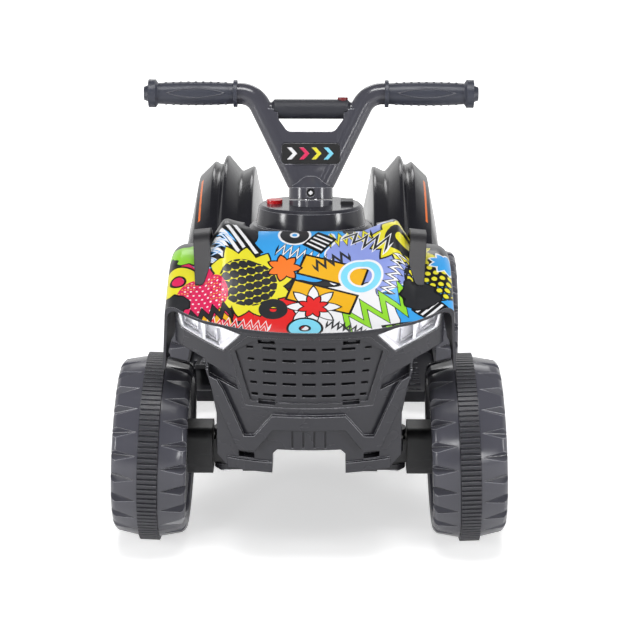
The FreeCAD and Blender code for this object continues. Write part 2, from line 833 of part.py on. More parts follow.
def knuckle_shape():
    """Left steering knuckle: barrel on the kingpin, outer plate, and steering arm with its pin."""
    z = front_axle_z
    half_barrel = vec(0, 0, knuckle_barrel_height / 2)
    centre = vec(kingpin_x, front_axle_y, z)
    barrel = rod(knuckle_barrel_radius, centre.sub(half_barrel), centre.add(half_barrel))
    inner = kingpin_x + knuckle_block_gap
    outer = inner + knuckle_block_thickness
    half_depth = knuckle_block_depth / 2
    half_height = knuckle_height / 2
    corner = knuckle_block_depth / 4
    plate = rounded_prism([vec(inner, front_axle_y - half_depth, z - half_height),
                           vec(inner, front_axle_y + half_depth, z - half_height),
                           vec(inner, front_axle_y + half_depth, z + half_height),
                           vec(inner, front_axle_y - half_depth, z + half_height)], corner,
                          vec(knuckle_block_thickness, 0, 0))
    hollow = block(vec(inner + wall, front_axle_y + knuckle_boss_height, z - knuckle_boss_height),
                   vec(outer - wall, front_axle_y + half_depth + overrun, z + knuckle_boss_height))
    boss = block(vec(kingpin_x, front_axle_y - knuckle_boss_height, z - knuckle_boss_height),
                 vec(inner + wall, front_axle_y + knuckle_boss_height, z + knuckle_boss_height))
    arm_low = steer_arm_z
    arm_high = steer_arm_z + steer_arm_thickness
    arm_end = vec(kingpin_x, front_axle_y - steer_arm, arm_low)
    arm = block(vec(kingpin_x - steer_arm_width / 2, front_axle_y - steer_arm, arm_low),
                vec(kingpin_x + steer_arm_width / 2, front_axle_y, arm_high))
    eye = rod(steer_arm_width / 2, arm_end, vec(arm_end.x, arm_end.y, arm_high))
    pin_top = tie_bottom + tie_thickness + tie_pin_radius
    pin = rod(tie_pin_radius, arm_end, vec(arm_end.x, arm_end.y, pin_top))
    body = joined([barrel, plate, boss, arm, eye, pin])
    through = vec(0, 0, knuckle_height)
    bore = rod(kingpin_radius + running, centre.sub(through), centre.add(through))
    socket = rod(axle_radius, spindle_point(inner + wall), spindle_point(outer + overrun))
    return body.cut([bore, hollow, socket])


def spindle_shape():
    inner = kingpin_x + knuckle_block_gap + wall
    end = front_track_half + hub_face + slip + nut_thickness
    return rod(axle_radius, spindle_point(inner), spindle_point(end))


def rear_axle_shape():
    end = rear_track_half + hub_face + slip + nut_thickness
    return rod(axle_radius, vec(-end, rear_axle_y, rear_axle_z), vec(end, rear_axle_y, rear_axle_z))


# Handlebar and its pieces, built upright and then raked

def arm_path():
    """Centre line of the left arm: up from the collar, round the bend and out into the grip."""
    foot = vec(arm_foot_x, 0, arm_foot_t)
    corner = vec(arm_corner_x, 0, grip_t)
    end = vec(grip_inner_x, 0, grip_t)
    up = corner.sub(foot).normalize()
    out = X_AXIS
    half_turn = up.getAngle(out) / 2
    reach = arm_bend * math.tan(half_turn)
    start_arc = corner.sub(vec(up.x * reach, 0, up.z * reach))
    end_arc = corner.add(vec(reach, 0, 0))
    normal = vec(up.z, 0, -up.x)
    centre = start_arc.add(vec(normal.x * arm_bend, 0, normal.z * arm_bend))
    inward = corner.sub(centre).normalize()
    middle = centre.add(vec(inward.x * arm_bend, 0, inward.z * arm_bend))
    end = vec(max(end.x, end_arc.x + arm_radius / 2), 0, grip_t)
    edges = [Part.LineSegment(foot, start_arc).toShape(), Part.Arc(start_arc, middle, end_arc).toShape(),
             Part.LineSegment(end_arc, end).toShape()]
    return Part.Wire(edges), up, end


def arm_shape():
    """Left arm of the handlebar, up to the start of its grip, and the place where it ends."""
    path, up, end = arm_path()
    section = Part.Wire(Part.makeCircle(arm_radius, path.Vertexes[0].Point, up))
    return path.makePipeShell([section], True, False), end


def web_shape():
    """Plate that fills the fork between the arms, with the hand slot left open under the crossbar."""
    front = -web_thickness / 2
    lean = (arm_corner_x - arm_foot_x) / (grip_t - arm_foot_t)

    def on_arm(t):
        return vec(arm_foot_x + lean * (t - arm_foot_t), front, t)

    slot_top = bar_t - pad_radius
    right = [on_arm(collar_height), on_arm(bar_t), vec(slot_top_half, front, bar_t),
             vec(slot_top_half, front, slot_top), vec(slot_floor_half, front, slot_floor_t)]
    left = [vec(-point.x, point.y, point.z) for point in reversed(right)]
    corners = [0, 0, 0, slot_corner, slot_corner]
    return rounded_prism(right + left, corners + corners[::-1], vec(0, web_thickness, 0))


def handlebar_shape():
    """One moulding: collar, web, two arms, crossbar core and the cores inside the grips."""
    arm, arm_end = arm_shape()
    core = rod(grip_core_radius, vec(arm_end.x - arm_radius, 0, grip_t),
               vec(grip_outer_x - grip_knob_width - wall, 0, grip_t))
    crossbar = rod(bar_core_radius, vec(-bar_half, 0, bar_t), vec(bar_half, 0, bar_t))
    collar = Part.makeCylinder(collar_radius, collar_height)
    neck = Part.makeCone(collar_radius, neck_radius, neck_top - collar_height, vec(0, 0, collar_height))
    body = joined([collar, neck, web_shape(), crossbar, arm, mirrored(arm), core, mirrored(core)])
    bore = rod(column_radius + running, vec(0, 0, -overrun), vec(0, 0, column_rise + slip))
    head_seat = rod(bolt_head_radius + running, vec(0, -collar_radius - overrun, bolt_t),
                    vec(0, -collar_radius + bolt_head_height + bolt_sink, bolt_t))
    cross_hole = rod(bolt_radius, vec(0, -collar_radius - overrun, bolt_t),
                     vec(0, collar_radius + overrun, bolt_t))
    pad_top = bar_t + pad_radius
    horn_pocket = rod(horn_radius + slip, vec(horn_x, 0, pad_top - horn_depth - horn_travel - slip),
                      vec(horn_x, 0, pad_top + overrun))
    badge_seat = badge_blank(running, overrun)
    return on_column(body.cut([bore, head_seat, cross_hole, horn_pocket, badge_seat]))


def badge_blank(grow, proud):
    """Plate let into the web's front face to half its thickness."""
    half_width = badge_width / 2 + grow
    half_height = badge_height / 2 + grow
    rear = (badge_thickness - web_thickness) / 2
    points = [vec(-half_width, rear, badge_t - half_height), vec(half_width, rear, badge_t - half_height),
              vec(half_width, rear, badge_t + half_height), vec(-half_width, rear, badge_t + half_height)]
    return rounded_prism(points, badge_corner, vec(0, -badge_thickness / 2 - proud, 0))


def badge_shape():
    return on_column(badge_blank(0, badge_thickness / 2))


def stem_bolt_shape():
    head_start = -collar_radius + bolt_sink
    head = rod(bolt_head_radius, vec(0, head_start, bolt_t), vec(0, head_start + bolt_head_height, bolt_t))
    shank = rod(bolt_radius, vec(0, head_start, bolt_t), vec(0, collar_radius, bolt_t))
    return on_column(joined([head, shank]))


def grip_shape():
    """Left grip: a swollen sleeve between two flanges, closed by a knob at its end."""
    body_start = grip_inner_x + grip_flange_width
    knob = grip_outer_x - grip_knob_width
    knob_end_radius = grip_knob_radius * grip_knob_end_share
    body_end = knob - grip_end_width
    middle = (body_start + body_end) / 2
    rise = [vec(grip_inner_x, 0, 0), vec(grip_inner_x, 0, grip_flange), vec(body_start, 0, grip_flange),
            vec(body_start, 0, grip_radius)]
    fall = [vec(body_end, 0, grip_radius), vec(body_end + grip_end_width / 4, 0, grip_end_flange),
            vec(knob, 0, grip_end_flange), vec(knob, 0, grip_knob_radius),
            vec(grip_outer_x, 0, knob_end_radius), vec(grip_outer_x, 0, 0), vec(grip_inner_x, 0, 0)]
    swell = Part.Arc(rise[-1], vec(middle, 0, grip_radius + grip_swell), fall[0]).toShape()
    lines = [Part.LineSegment(a, b).toShape() for run in (rise, fall) for a, b in zip(run, run[1:])]
    wire = Part.Wire(Part.__sortEdges__(lines + [swell]))
    solid = Part.Face(wire).revolve(ORIGIN, X_AXIS, 360)
    return on_column(moved(solid, vec(0, 0, grip_t)))


def pad_shape():
    """Soft sleeve round the crossbar, butted against the two arms."""
    sleeve = revolve_x([(-pad_half, pad_radius - pad_end), (-pad_half + pad_end, pad_radius),
                        (pad_half - pad_end, pad_radius), (pad_half, pad_radius - pad_end),
                        (pad_half, bar_core_radius), (-pad_half, bar_core_radius)])
    sleeve = moved(sleeve, vec(0, 0, bar_t))
    hole = rod(horn_radius + slip, vec(horn_x, 0, bar_t), vec(horn_x, 0, bar_t + pad_radius + overrun))
    arm, arm_end = arm_shape()
    return on_column(sleeve.cut([hole, arm, mirrored(arm), web_shape()]))


def horn_shape():
    top = bar_t + pad_radius + horn_rise
    return on_column(rod(horn_radius, vec(horn_x, 0, bar_t + pad_radius - horn_depth), vec(horn_x, 0, top)))


# Dash: a two-step cover under the handlebar, its bush and two switches

def on_dash(shape):
    """Takes a shape built upright on the dash axis to its tilted place."""
    return turned(shape, vec(0, stem_y, dash_upper_z), X_AXIS, -dash_tilt_deg)


def dash_profile(inset):
    low = shell_top_z - 2 * overrun
    top = dash_upper_z - inset
    step = dash_lower_z - inset
    upper = dash_upper_radius - inset
    lower = dash_lower_radius - inset
    points = [(0, low), (lower + dash_slope, low), (lower, step - dash_edge), (lower - dash_edge, step),
              (upper + dash_slope, step), (upper, top - dash_edge), (upper - dash_edge, top), (0, top)]
    face = closed_face([vec(radius, stem_y, z) for radius, z in points])
    return face.revolve(vec(0, stem_y, 0), Z_AXIS, 360)


def dash_shape(shell_solid):
    cover = on_dash(dash_profile(0)).cut(on_dash(dash_profile(wall)))
    cuts = [shell_solid, rod(collar_radius, column_point(-bush_depth - overrun), column_point(overrun))]
    cuts.append(on_dash(rod(button_radius + slip, vec(-button_x, stem_y + button_offset_y, dash_lower_z),
                            vec(-button_x, stem_y + button_offset_y, dash_upper_z + overrun))))
    cuts.append(on_dash(rocker_window()))
    return cover.cut(cuts)


def rocker_window():
    half_width = rocker_width / 2 + slip
    half_length_y = rocker_length / 2 + slip
    y = stem_y + button_offset_y
    return block(vec(button_x - half_width, y - half_length_y, dash_upper_z - wall - overrun),
                 vec(button_x + half_width, y + half_length_y, dash_upper_z + overrun))


def bush_shape(shell_solid):
    sleeve = rod(collar_radius, column_point(-bush_depth), column_point(-collar_gap))
    bore = rod(column_radius + running, column_point(-bush_depth - overrun), column_point(overrun))
    return sleeve.cut([bore, shell_solid])


def start_button_shape():
    y = stem_y + button_offset_y
    top = dash_upper_z + button_rise
    under = dash_upper_z - wall - slip
    foot = vec(-button_x, y, under - button_flange)
    stem = rod(button_radius, foot, vec(-button_x, y, top))
    flange = rod(button_radius + button_flange, foot, vec(-button_x, y, under))
    return on_dash(joined([stem, flange]))


def rocker_shape():
    """Rocker with a shallow V top, on a round trunnion under the dash skin."""
    y = stem_y + button_offset_y
    half = rocker_length / 2 - 2 * slip
    x0 = button_x - rocker_width / 2
    top = dash_upper_z + rocker_rise
    under = dash_upper_z - wall
    points = [vec(x0, y - half, under), vec(x0, y - half, top), vec(x0, y, top - rocker_rise / 2),
              vec(x0, y + half, top), vec(x0, y + half, under), vec(x0, y, dash_upper_z - rocker_sink)]
    return on_dash(prism(points, vec(rocker_width, 0, 0)))


# Upper body shell and seat

def shell_section(y, width, height, inset):
    low = tub_top_z if inset == 0 else tub_top_z - overrun
    base = tub_half_width - inset
    shoulder = tub_half_width * width - inset
    top = tub_top_z + (shell_top_z - tub_top_z) * height - inset
    points = [vec(-base, y, low), vec(base, y, low), vec(shoulder, y, top), vec(-shoulder, y, top)]
    corner = shell_corner - inset
    return rounded_wire(points, [0, 0, corner, corner])


def shell_place(share):
    return shell_front_y + (shell_rear_y - shell_front_y) * share


def shell_loft(inset):
    rows = []
    last = len(shell_shares) - 1
    for index, (place, width, height) in enumerate(shell_shares):
        y = shell_place(place)
        if index == 0:
            y += inset
        if index == last:
            y -= inset
        rows.append(shell_section(y, width, height, inset))
    return loft(rows)


def between(places, values, place):
    """Reads a table at a place between its rows."""
    for (low, high), (first, last) in zip(zip(places, places[1:]), zip(values, values[1:])):
        if place <= high:
            return first + (last - first) * (place - low) / (high - low)
    return values[-1]


def shell_height(y):
    """Height of the shell's top at a place along its length."""
    share = between([shell_place(row[0]) for row in shell_shares], [row[2] for row in shell_shares], y)
    return tub_top_z + (shell_top_z - tub_top_z) * share


def body_shell_shape():
    column_hole = rod(collar_radius, column_point(-crank_drop), column_point(0))
    return shell_loft(0).cut([shell_loft(wall), column_hole] + switch_rooms())


def switch_rooms():
    """Openings in the shell's top, under the dash, for the backs of the two switches."""
    half = rocker_length / 2 + button_flange
    y = stem_y + button_offset_y
    return [block(vec(side * button_x - half, y - half, shell_top_z - wall - overrun),
                  vec(side * button_x + half, y + half, shell_top_z + overrun)) for side in (1, -1)]


def seat_shape(shell_solid):
    rows = []
    length = seat_rear_y - seat_front_y
    for place, width, thickness in seat_shares:
        y = seat_front_y + length * place
        half = seat_half_width * width
        top = shell_height(y) + seat_thickness * thickness
        low = top - 2 * seat_thickness
        points = [vec(-half, y, low), vec(half, y, low), vec(half, y, top), vec(-half, y, top)]
        rows.append(rounded_wire(points, [0, 0, seat_corner, seat_corner]))
    return loft(rows).cut(shell_solid)


# Front cowl

def cowl_section(y, heights, inset):
    def z_at(share):
        return cowl_nose_z + (cowl_peak_z - cowl_nose_z) * share - inset

    scale = (cowl_half_width - inset) / cowl_half_width
    half = [(cowl_half_width * x * scale, z_at(z)) for x, z in zip(cowl_point_shares, heights)]
    corner_x, corner_z = half[-1]
    skirt_x = cowl_half_width * scale
    low = cowl_skirt_z if inset == 0 else tub_floor_z - overrun
    flare = (skirt_x - corner_x) * (corner_z - low) / (corner_z - cowl_skirt_z)
    half.append((corner_x + flare, low))
    right = [vec(x, y, z) for x, z in half]
    left = [vec(-x, y, z) for x, z in reversed(half)]
    side = [cowl_soft, cowl_soft, cowl_soft, cowl_corner, 0]
    return rounded_wire(left + right, list(reversed(side)) + side)


def cowl_place(share):
    front = -half_length - overrun
    return front + (cowl_rear_y - front) * share


def cowl_height(x, y):
    """Height of the cowl's top at a place in plan."""
    widths = [cowl_half_width * share for share in cowl_point_shares]
    places = [cowl_place(place) for place, heights in cowl_shares]
    share = between(places, [between(widths, heights, x) for place, heights in cowl_shares], y)
    return cowl_nose_z + (cowl_peak_z - cowl_nose_z) * share


def cowl_loft(inset):
    return loft([cowl_section(cowl_place(place), heights, inset) for place, heights in cowl_shares])


def cowl_shape(outer, inner, shell_solid):
    tall = 2 * cowl_peak_z
    nose = Part.makeCylinder(nose_radius, 2 * tall, vec(0, nose_centre_y, -tall))
    ahead = block(vec(-nose_radius, -half_length - 2 * overrun, 0), vec(nose_radius, nose_centre_y, tall))
    arch = rod(wheel_radius + arch_gap, vec(-nose_radius, front_axle_y, wheel_radius),
               vec(nose_radius, front_axle_y, wheel_radius))
    dash_gap = dash_lower_radius + dash_slope + slip
    dash_room = block(vec(-dash_gap, hood_rear_y, shell_top_z - dash_room_drop),
                      vec(dash_gap, half_length, tall))
    return outer.cut(inner).cut([ahead.cut(nose), arch, dash_room, shell_solid])


# Front fascia, grille and headlights: front elevations cut from bowed sheets

def bow(front, back):
    """Bowed sheet between two depths behind the face of the fascia."""
    def cone(depth):
        top = nose_radius - fascia_setback - depth
        height = fascia_top_z - tub_floor_z
        return Part.makeCone(top - fascia_lean, top, height, vec(0, nose_centre_y, tub_floor_z))

    return cone(front).cut(cone(back))


def elevation(half_points):
    """Solid of a symmetric front elevation, from its right half."""
    right = [vec(x, -half_length - overrun, z) for x, z in half_points]
    left = [vec(-point.x, point.y, point.z) for point in reversed(right) if point.x > 0]
    return prism(right + left, vec(0, nose_radius, 0))


def side_elevation(points):
    """Solid of a front elevation on the left side only."""
    return prism([vec(x, -half_length - overrun, z) for x, z in points], vec(0, nose_radius, 0))


def from_shares(shares):
    return [(fascia_half_width * x, fascia_bottom_z + fascia_face_height * z) for x, z in shares]


def both_sides(solid):
    return [solid, mirrored(solid)]


def shrunk(points, edge):
    """The same corners drawn in towards their middle by a margin."""
    middle_x = sum(x for x, z in points) / len(points)
    middle_z = sum(z for x, z in points) / len(points)
    result = []
    for x, z in points:
        reach = math.hypot(x - middle_x, z - middle_z)
        share = (reach - edge) / reach
        result.append((middle_x + (x - middle_x) * share, middle_z + (z - middle_z) * share))
    return result


def fascia_outline(inset):
    middle_z = (fascia_bottom_z + cheek_inner_z) / 2
    low = fascia_bottom_z + inset
    side = fascia_half_width - inset
    foot = foot_inner_half + inset
    arch = arch_top_z + inset
    cheek = cheek_half_width - inset
    return [(0, fascia_top_z), (cheek, fascia_top_z), (cheek, cheek_z + inset),
            (cheek_inner_half - inset, cheek_inner_z + inset), (side, middle_z),
            (side, low + foot_corner), (side - foot_corner, low), (foot, low),
            (foot, arch - arch_slope), (foot - arch_slope, arch), (0, arch)]


def grille_outline(inset):
    return [(0, grille_top_z - inset), (grille_top_half - inset, grille_top_z - inset),
            (grille_shoulder_half - inset, grille_shoulder_z),
            (grille_bottom_half - inset, grille_bottom_z + inset), (0, grille_bottom_z + inset)]


def fascia_shape(under_cowl, tub_room):
    outline = elevation(fascia_outline(0))
    face = outline.common(bow(0, wall))
    rim = outline.cut(elevation(fascia_outline(fascia_rim))).common(bow(wall / 2, fascia_depth))
    grille_hole = elevation(grille_outline(grille_frame))
    grille_seat = elevation(grille_outline(0)).common(bow(-overrun, grille_thickness))
    flange = elevation(grille_outline(-grille_frame)).cut(grille_hole)
    flange = flange.common(bow(wall / 2, grille_thickness + wall))
    recesses = []
    floors = []
    for shares, depth in ((pocket_shares, bumper_pocket), (vent_shares, vent_depth)):
        points = from_shares(shares)
        recesses += both_sides(side_elevation(points).common(bow(-overrun, depth)))
        floors += both_sides(side_elevation(shrunk(points, -wall)).common(bow(wall / 2, depth + wall)))
    band = elevation(from_shares(band_shares)).common(bow(-bumper_band, wall / 2))
    lip_top = fascia_bottom_z + foot_lip
    lip_side = fascia_half_width - foot_corner
    lip_points = [(foot_inner_half, lip_top), (lip_side, lip_top),
                  (lip_side, fascia_bottom_z), (foot_inner_half, fascia_bottom_z)]
    lips = both_sides(side_elevation(lip_points).common(bow(-foot_lip_rise, wall / 2)))
    lamps = both_sides(side_elevation(lamp_points()))
    body = joined([face, rim, flange, band] + lips + floors)
    body = body.cut(recesses + lamps + [grille_hole, grille_seat, tub_room] + bumper_slits())
    return body.common(under_cowl)


def bumper_slits():
    """Upright slits in the plate above the arch of the bumper."""
    top = fascia_bottom_z + fascia_face_height * centre_shares[0][1]
    low = fascia_bottom_z + fascia_face_height * centre_shares[1][1]
    start = -slit_pitch * (slit_count - 1) / 2
    places = [start + slit_pitch * index for index in range(slit_count)]
    skin = bow(-overrun, wall / 2)
    return [slot_cut(x, (top + low) / 2, slit_width, top - low).common(skin) for x in places]


def grille_shape(under_cowl):
    """Insert with a raised frame, rows of slots and four clip windows."""
    plate = elevation(grille_outline(running)).common(bow(grille_relief, grille_thickness))
    frame = elevation(grille_outline(running)).cut(elevation(grille_outline(grille_frame)))
    body = joined([plate, frame.common(bow(0, grille_thickness))])
    cuts = []
    for row in range(grille_rows):
        z = grille_top_z - slot_top_margin - slot_row_pitch * row
        for column in range(grille_columns):
            x = slot_pitch * (column - (grille_columns - 1) / 2)
            cuts.append(slot_cut(x, z, slot_width, slot_height))
        for side in (1, -1):
            x = side * slot_pitch * (grille_columns + 1) / 2 * row_reach_share(row)
            cuts.append(slot_cut(x, z, slot_width / 2, slot_height))
    for z in (grille_top_z - clip_window_height, grille_bottom_z + clip_window_height):
        for side in (1, -1):
            x = side * grille_bottom_half * clip_place_share
            cuts.append(slot_cut(x, z, clip_window_width, clip_window_height))
    return body.cut(cuts).common(under_cowl)


def row_reach_share(row):
    """The short outer slots draw in as the grille narrows towards its foot."""
    return 1 - (1 - grille_bottom_half / grille_shoulder_half) * row / (2 * grille_rows)


def slot_cut(x, z, width, height):
    low = vec(x - width / 2, -half_length - overrun, z - height / 2)
    return block(low, vec(x + width / 2, nose_centre_y, z + height / 2))


def lamp_points():
    """Outline of the left headlight; its outer top corner tucks in under the cowl."""
    points = from_shares(lamp_shares)
    x = points[0][0]
    y = nose_centre_y - math.sqrt((nose_radius - fascia_setback) ** 2 - x ** 2)
    return [(x, cowl_height(x, y) - wall - lamp_drop)] + points[1:]


def lens_shape(under_cowl):
    return side_elevation(lamp_points()).common(bow(0, lens_thickness)).common(under_cowl)


def reflector_shape(under_cowl):
    """Bright dish behind the left lens, seated on its back, with two hollow lamps."""
    points = lamp_points()
    dish = side_elevation(points).common(bow(lens_thickness, lens_thickness + reflector_depth))
    hollow = side_elevation(shrunk(points, lamp_edge))
    hollow = hollow.common(bow(0, lens_thickness + reflector_depth - wall))
    divider_x = sum(x for x, z in points) / len(points)
    divider = block(vec(divider_x - wall / 2, -half_length, fascia_bottom_z),
                    vec(divider_x + wall / 2, nose_centre_y, fascia_top_z))
    return dish.cut(hollow.cut(divider)).common(under_cowl)


# Rack straps

def strap_shape(cowl_solid):
    """Left strap: a flat bar bent up from the cowl, over a flat crest and down again, leaning outwards."""
    low = strap_root_z
    crest_half = strap_bend * strap_crest_share
    taper = strap_thickness * strap_taper_share
    outer = [vec(0, strap_front_y, low), vec(0, strap_crest_y - crest_half, strap_crest_z),
             vec(0, strap_crest_y + crest_half, strap_crest_z), vec(0, strap_rear_y, low)]
    inner = [vec(0, strap_front_y + taper, low - overrun),
             vec(0, strap_crest_y - crest_half + strap_thickness / 2, strap_crest_z - strap_thickness),
             vec(0, strap_crest_y + crest_half - strap_thickness / 2, strap_crest_z - strap_thickness),
             vec(0, strap_rear_y - taper, low - overrun)]
    radii = [0, strap_bend, strap_bend, 0]
    inner_radii = [0, strap_bend - strap_thickness, strap_bend - strap_thickness, 0]
    along = vec(strap_width, 0, 0)
    bar = rounded_prism(outer, radii, along).cut(rounded_prism(inner, inner_radii, along))
    lean = math.degrees(math.atan2(strap_crest_x - strap_foot_x, strap_crest_z - low))
    bar = moved(bar, vec(strap_foot_x - strap_width / 2, 0, 0))
    bar = turned(bar, vec(strap_foot_x, 0, low), Y_AXIS, lean)
    return bar.cut(cowl_solid)


# Rear fenders and tail

def fender_section(y, heights, inset):
    span = fender_outer_half - fender_inner_half
    rise = fender_top_z - fender_skirt_z
    low = fender_skirt_z - (overrun if inset else 0)
    scale = (span - 2 * inset) / span
    start = fender_inner_half + inset
    points = [vec(start, y, low)]
    for x, z in zip(fender_x_shares, heights):
        top = fender_skirt_z + rise * (z + fender_lift_share)
        points.append(vec(start + span * scale * x, y, top - inset))
    points.append(vec(start + span * scale, y, low))
    middle = [fender_corner / 2] * len(fender_x_shares)
    return rounded_wire(points, [0] + middle + [0])


def fender_loft(inset):
    rows = []
    last = len(fender_shares) - 1
    for index, (place, heights) in enumerate(fender_shares):
        y = fender_front_y + (fender_rear_y - fender_front_y) * place
        if index == 0:
            y += inset
        if index == last:
            y -= inset
        rows.append(fender_section(y, heights, inset))
    return loft(rows)


def fender_shape(shell_solid, seat_solid):
    """Left rear fender: a hollow moulding with a fin and a hump, open under, cut clear of the wheel."""
    inner_side = vec(rear_track_half - wheel_half - overrun, rear_axle_y, rear_axle_z)
    outer_side = vec(fender_outer_half + overrun, rear_axle_y, rear_axle_z)
    arch = rod(wheel_radius + arch_gap, inner_side, outer_side)
    skin = fender_loft(0).cut([fender_loft(wall), shell_solid, seat_solid, arch, tail_light_shape()])
    return max(skin.Solids, key=lambda solid: solid.Volume)


def tail_light_shape():
    """Left tail light: a lens set into the fender's rear wall and standing proud of it."""
    middle = (fender_inner_half + fender_outer_half) / 2
    bottom = tail_light_z - tail_light_height / 2
    low = vec(middle - tail_light_width / 2, half_length - tail_light_depth, bottom)
    points = [low, low.add(vec(tail_light_width, 0, 0)),
              low.add(vec(tail_light_width, 0, tail_light_height)), low.add(vec(0, 0, tail_light_height))]
    return rounded_prism(points, tail_light_height / 4, vec(0, tail_light_depth, 0))


def tail_panel_shape(shell_solid):
    """Rear bumper plate between the fenders, with vents."""
    rear = tub_rear_y + tail_thickness
    x = tail_half_width
    points = [vec(-x, tub_rear_y, tail_bottom_z), vec(x, tub_rear_y, tail_bottom_z),
              vec(x, tub_rear_y, tail_top_z), vec(-x, tub_rear_y, tail_top_z)]
    plate = rounded_prism(points, tail_corner, vec(0, tail_thickness, 0))
    top = (tail_top_z + tail_bottom_z) / 2 + tail_vent_pitch * tail_vent_count / 2
    vents = []
    for index in range(tail_vent_count):
        z = top - tail_vent_pitch * (index + 0.5)
        low = vec(-x / 2, rear - tail_thickness / 2, z - tail_vent_height / 2)
        vents.append(block(low, vec(x / 2, rear + overrun, z + tail_vent_height / 2)))
    return plate.cut(vents + [shell_solid] + [screw_shank(x, z) for x, z in screw_places()])


def screw_places():
    """Four screws that hold the tail panel to the tub, as (x, z)."""
    x = tail_half_width - tail_corner - screw_head_radius
    low = tail_bottom_z + tail_corner + screw_head_radius
    high = tub_top_z - tail_corner
    return [(side * x, z) for side in (1, -1) for z in (low, high)]


def screw_shank(x, z):
    end = tub_rear_y + tail_thickness
    return rod(screw_radius, vec(x, end - screw_length, z), vec(x, end, z))


def screws_shape():
    end = tub_rear_y + tail_thickness
    screws = []
    for x, z in screw_places():
        seat = vec(x, end, z)
        head = Part.makeCone(screw_head_radius, screw_head_radius / 2, screw_head_height, seat, Y_AXIS)
        screws.append(joined([screw_shank(x, z), head]))
    return Part.makeCompound(screws)


# Drive and electrics

def battery_shape():
    low = vec(-battery_width / 2, battery_y - battery_length / 2, tub_floor_z + wall + tub_rib_height)
    return block(low, low.add(vec(battery_width, battery_length, battery_height)))


def battery_strap_shape():
    """Hoop over the battery with a foot at each side on the floor ribs' level."""
    low = tub_floor_z + wall
    top = low + tub_rib_height + battery_height
    half = battery_width / 2
    side = half + strap_band_thickness
    toe = half + strap_band_width
    front = battery_y - strap_band_width / 2
    rear = battery_y + strap_band_width / 2
    outer = block(vec(-side, front, low), vec(side, rear, top + strap_band_thickness))
    inner = block(vec(-half, front - overrun, low - overrun), vec(half, rear + overrun, top))
    feet = block(vec(-toe, front, low), vec(toe, rear, low + strap_band_thickness))
    return joined([outer.cut(inner), feet.cut(inner)]).cut(floor_ribs())


def gearbox_shape():
    x = gearbox_inner_x
    front = rear_axle_y - gearbox_ahead
    rear = front + gearbox_length
    low = tub_floor_z + wall + tub_rib_height
    high = low + gearbox_height
    points = [vec(x, front, low), vec(x, rear, low), vec(x, rear, high), vec(x, front, high)]
    case = rounded_prism(points, gearbox_corner, vec(gearbox_outer_x - gearbox_inner_x, 0, 0))
    inner_end = vec(gearbox_inner_x - overrun, rear_axle_y, rear_axle_z)
    outer_end = vec(gearbox_outer_x + overrun, rear_axle_y, rear_axle_z)
    axle_way = rod(axle_radius, inner_end, outer_end)
    hub_floor = vec(gearbox_outer_x - drive_hub_bite - slip, rear_axle_y, rear_axle_z)
    hub_way = rod(drive_hub_radius + slip, hub_floor, outer_end)
    return case.cut([axle_way, hub_way])


def motor_shape():
    y = rear_axle_y - gearbox_ahead + motor_radius + wall
    z = tub_floor_z + wall + tub_rib_height + gearbox_height - motor_radius - wall
    end = vec(gearbox_inner_x - motor_length, y, z)
    can = rod(motor_radius, end, vec(gearbox_inner_x, y, z))
    nose = rod(motor_radius / 2, end.sub(vec(wall, 0, 0)), end)
    return joined([can, nose])


def drive_hub_shape():
    """Splined sleeve between gearbox and wheel, turning on the axle."""
    start = vec(gearbox_outer_x - drive_hub_bite, rear_axle_y, rear_axle_z)
    end = vec(rear_track_half - wheel_half + inner_dish_depth - slip, rear_axle_y, rear_axle_z)
    bore = rod(axle_radius + running, start.sub(vec(overrun, 0, 0)), end.add(vec(overrun, 0, 0)))
    return rod(drive_hub_radius, start, end).cut(bore)


def charge_socket_shape():
    seat = vec(tub_half_width, socket_y, socket_z)
    face = seat.add(vec(socket_flange, 0, 0))
    flange = rod(socket_flange_radius, seat, face)
    barrel = rod(socket_barrel_radius, face.sub(vec(socket_barrel, 0, 0)), face)
    bore = rod(socket_bore, face.sub(vec(socket_bore_depth, 0, 0)), face.add(vec(overrun, 0, 0)))
    return joined([flange, barrel]).cut(bore)


def pedal_shape():
    """Throttle pedal: a ribbed plate on a barrel at its rear edge, lifted towards the front."""
    x0 = pedal_x - pedal_width / 2
    barrel = rod(pedal_barrel_radius, vec(x0, pedal_hinge_y, pedal_hinge_z),
                 vec(x0 + pedal_width, pedal_hinge_y, pedal_hinge_z))
    pivot = rod(pedal_pin_radius, vec(x0 - pedal_lug_width, pedal_hinge_y, pedal_hinge_z),
                vec(x0 + pedal_width + pedal_lug_width, pedal_hinge_y, pedal_hinge_z))
    plate = block(vec(x0, pedal_hinge_y - pedal_length, pedal_hinge_z),
                  vec(x0 + pedal_width, pedal_hinge_y, pedal_hinge_z + pedal_thickness))
    step = pedal_length / (tread_rib_count + 1)
    rib = vec(pedal_width - 2 * tread_rib_width, tread_rib_width / 2, pedal_thickness + tread_rib_height)
    places = [vec(x0 + tread_rib_width, pedal_hinge_y - step * (index + 1), pedal_hinge_z)
              for index in range(tread_rib_count)]
    ribs = [block(place, place.add(rib)) for place in places]
    tilted = turned(joined([plate] + ribs), vec(0, pedal_hinge_y, pedal_hinge_z), X_AXIS, -pedal_lift_deg)
    return joined([barrel, pivot, tilted])


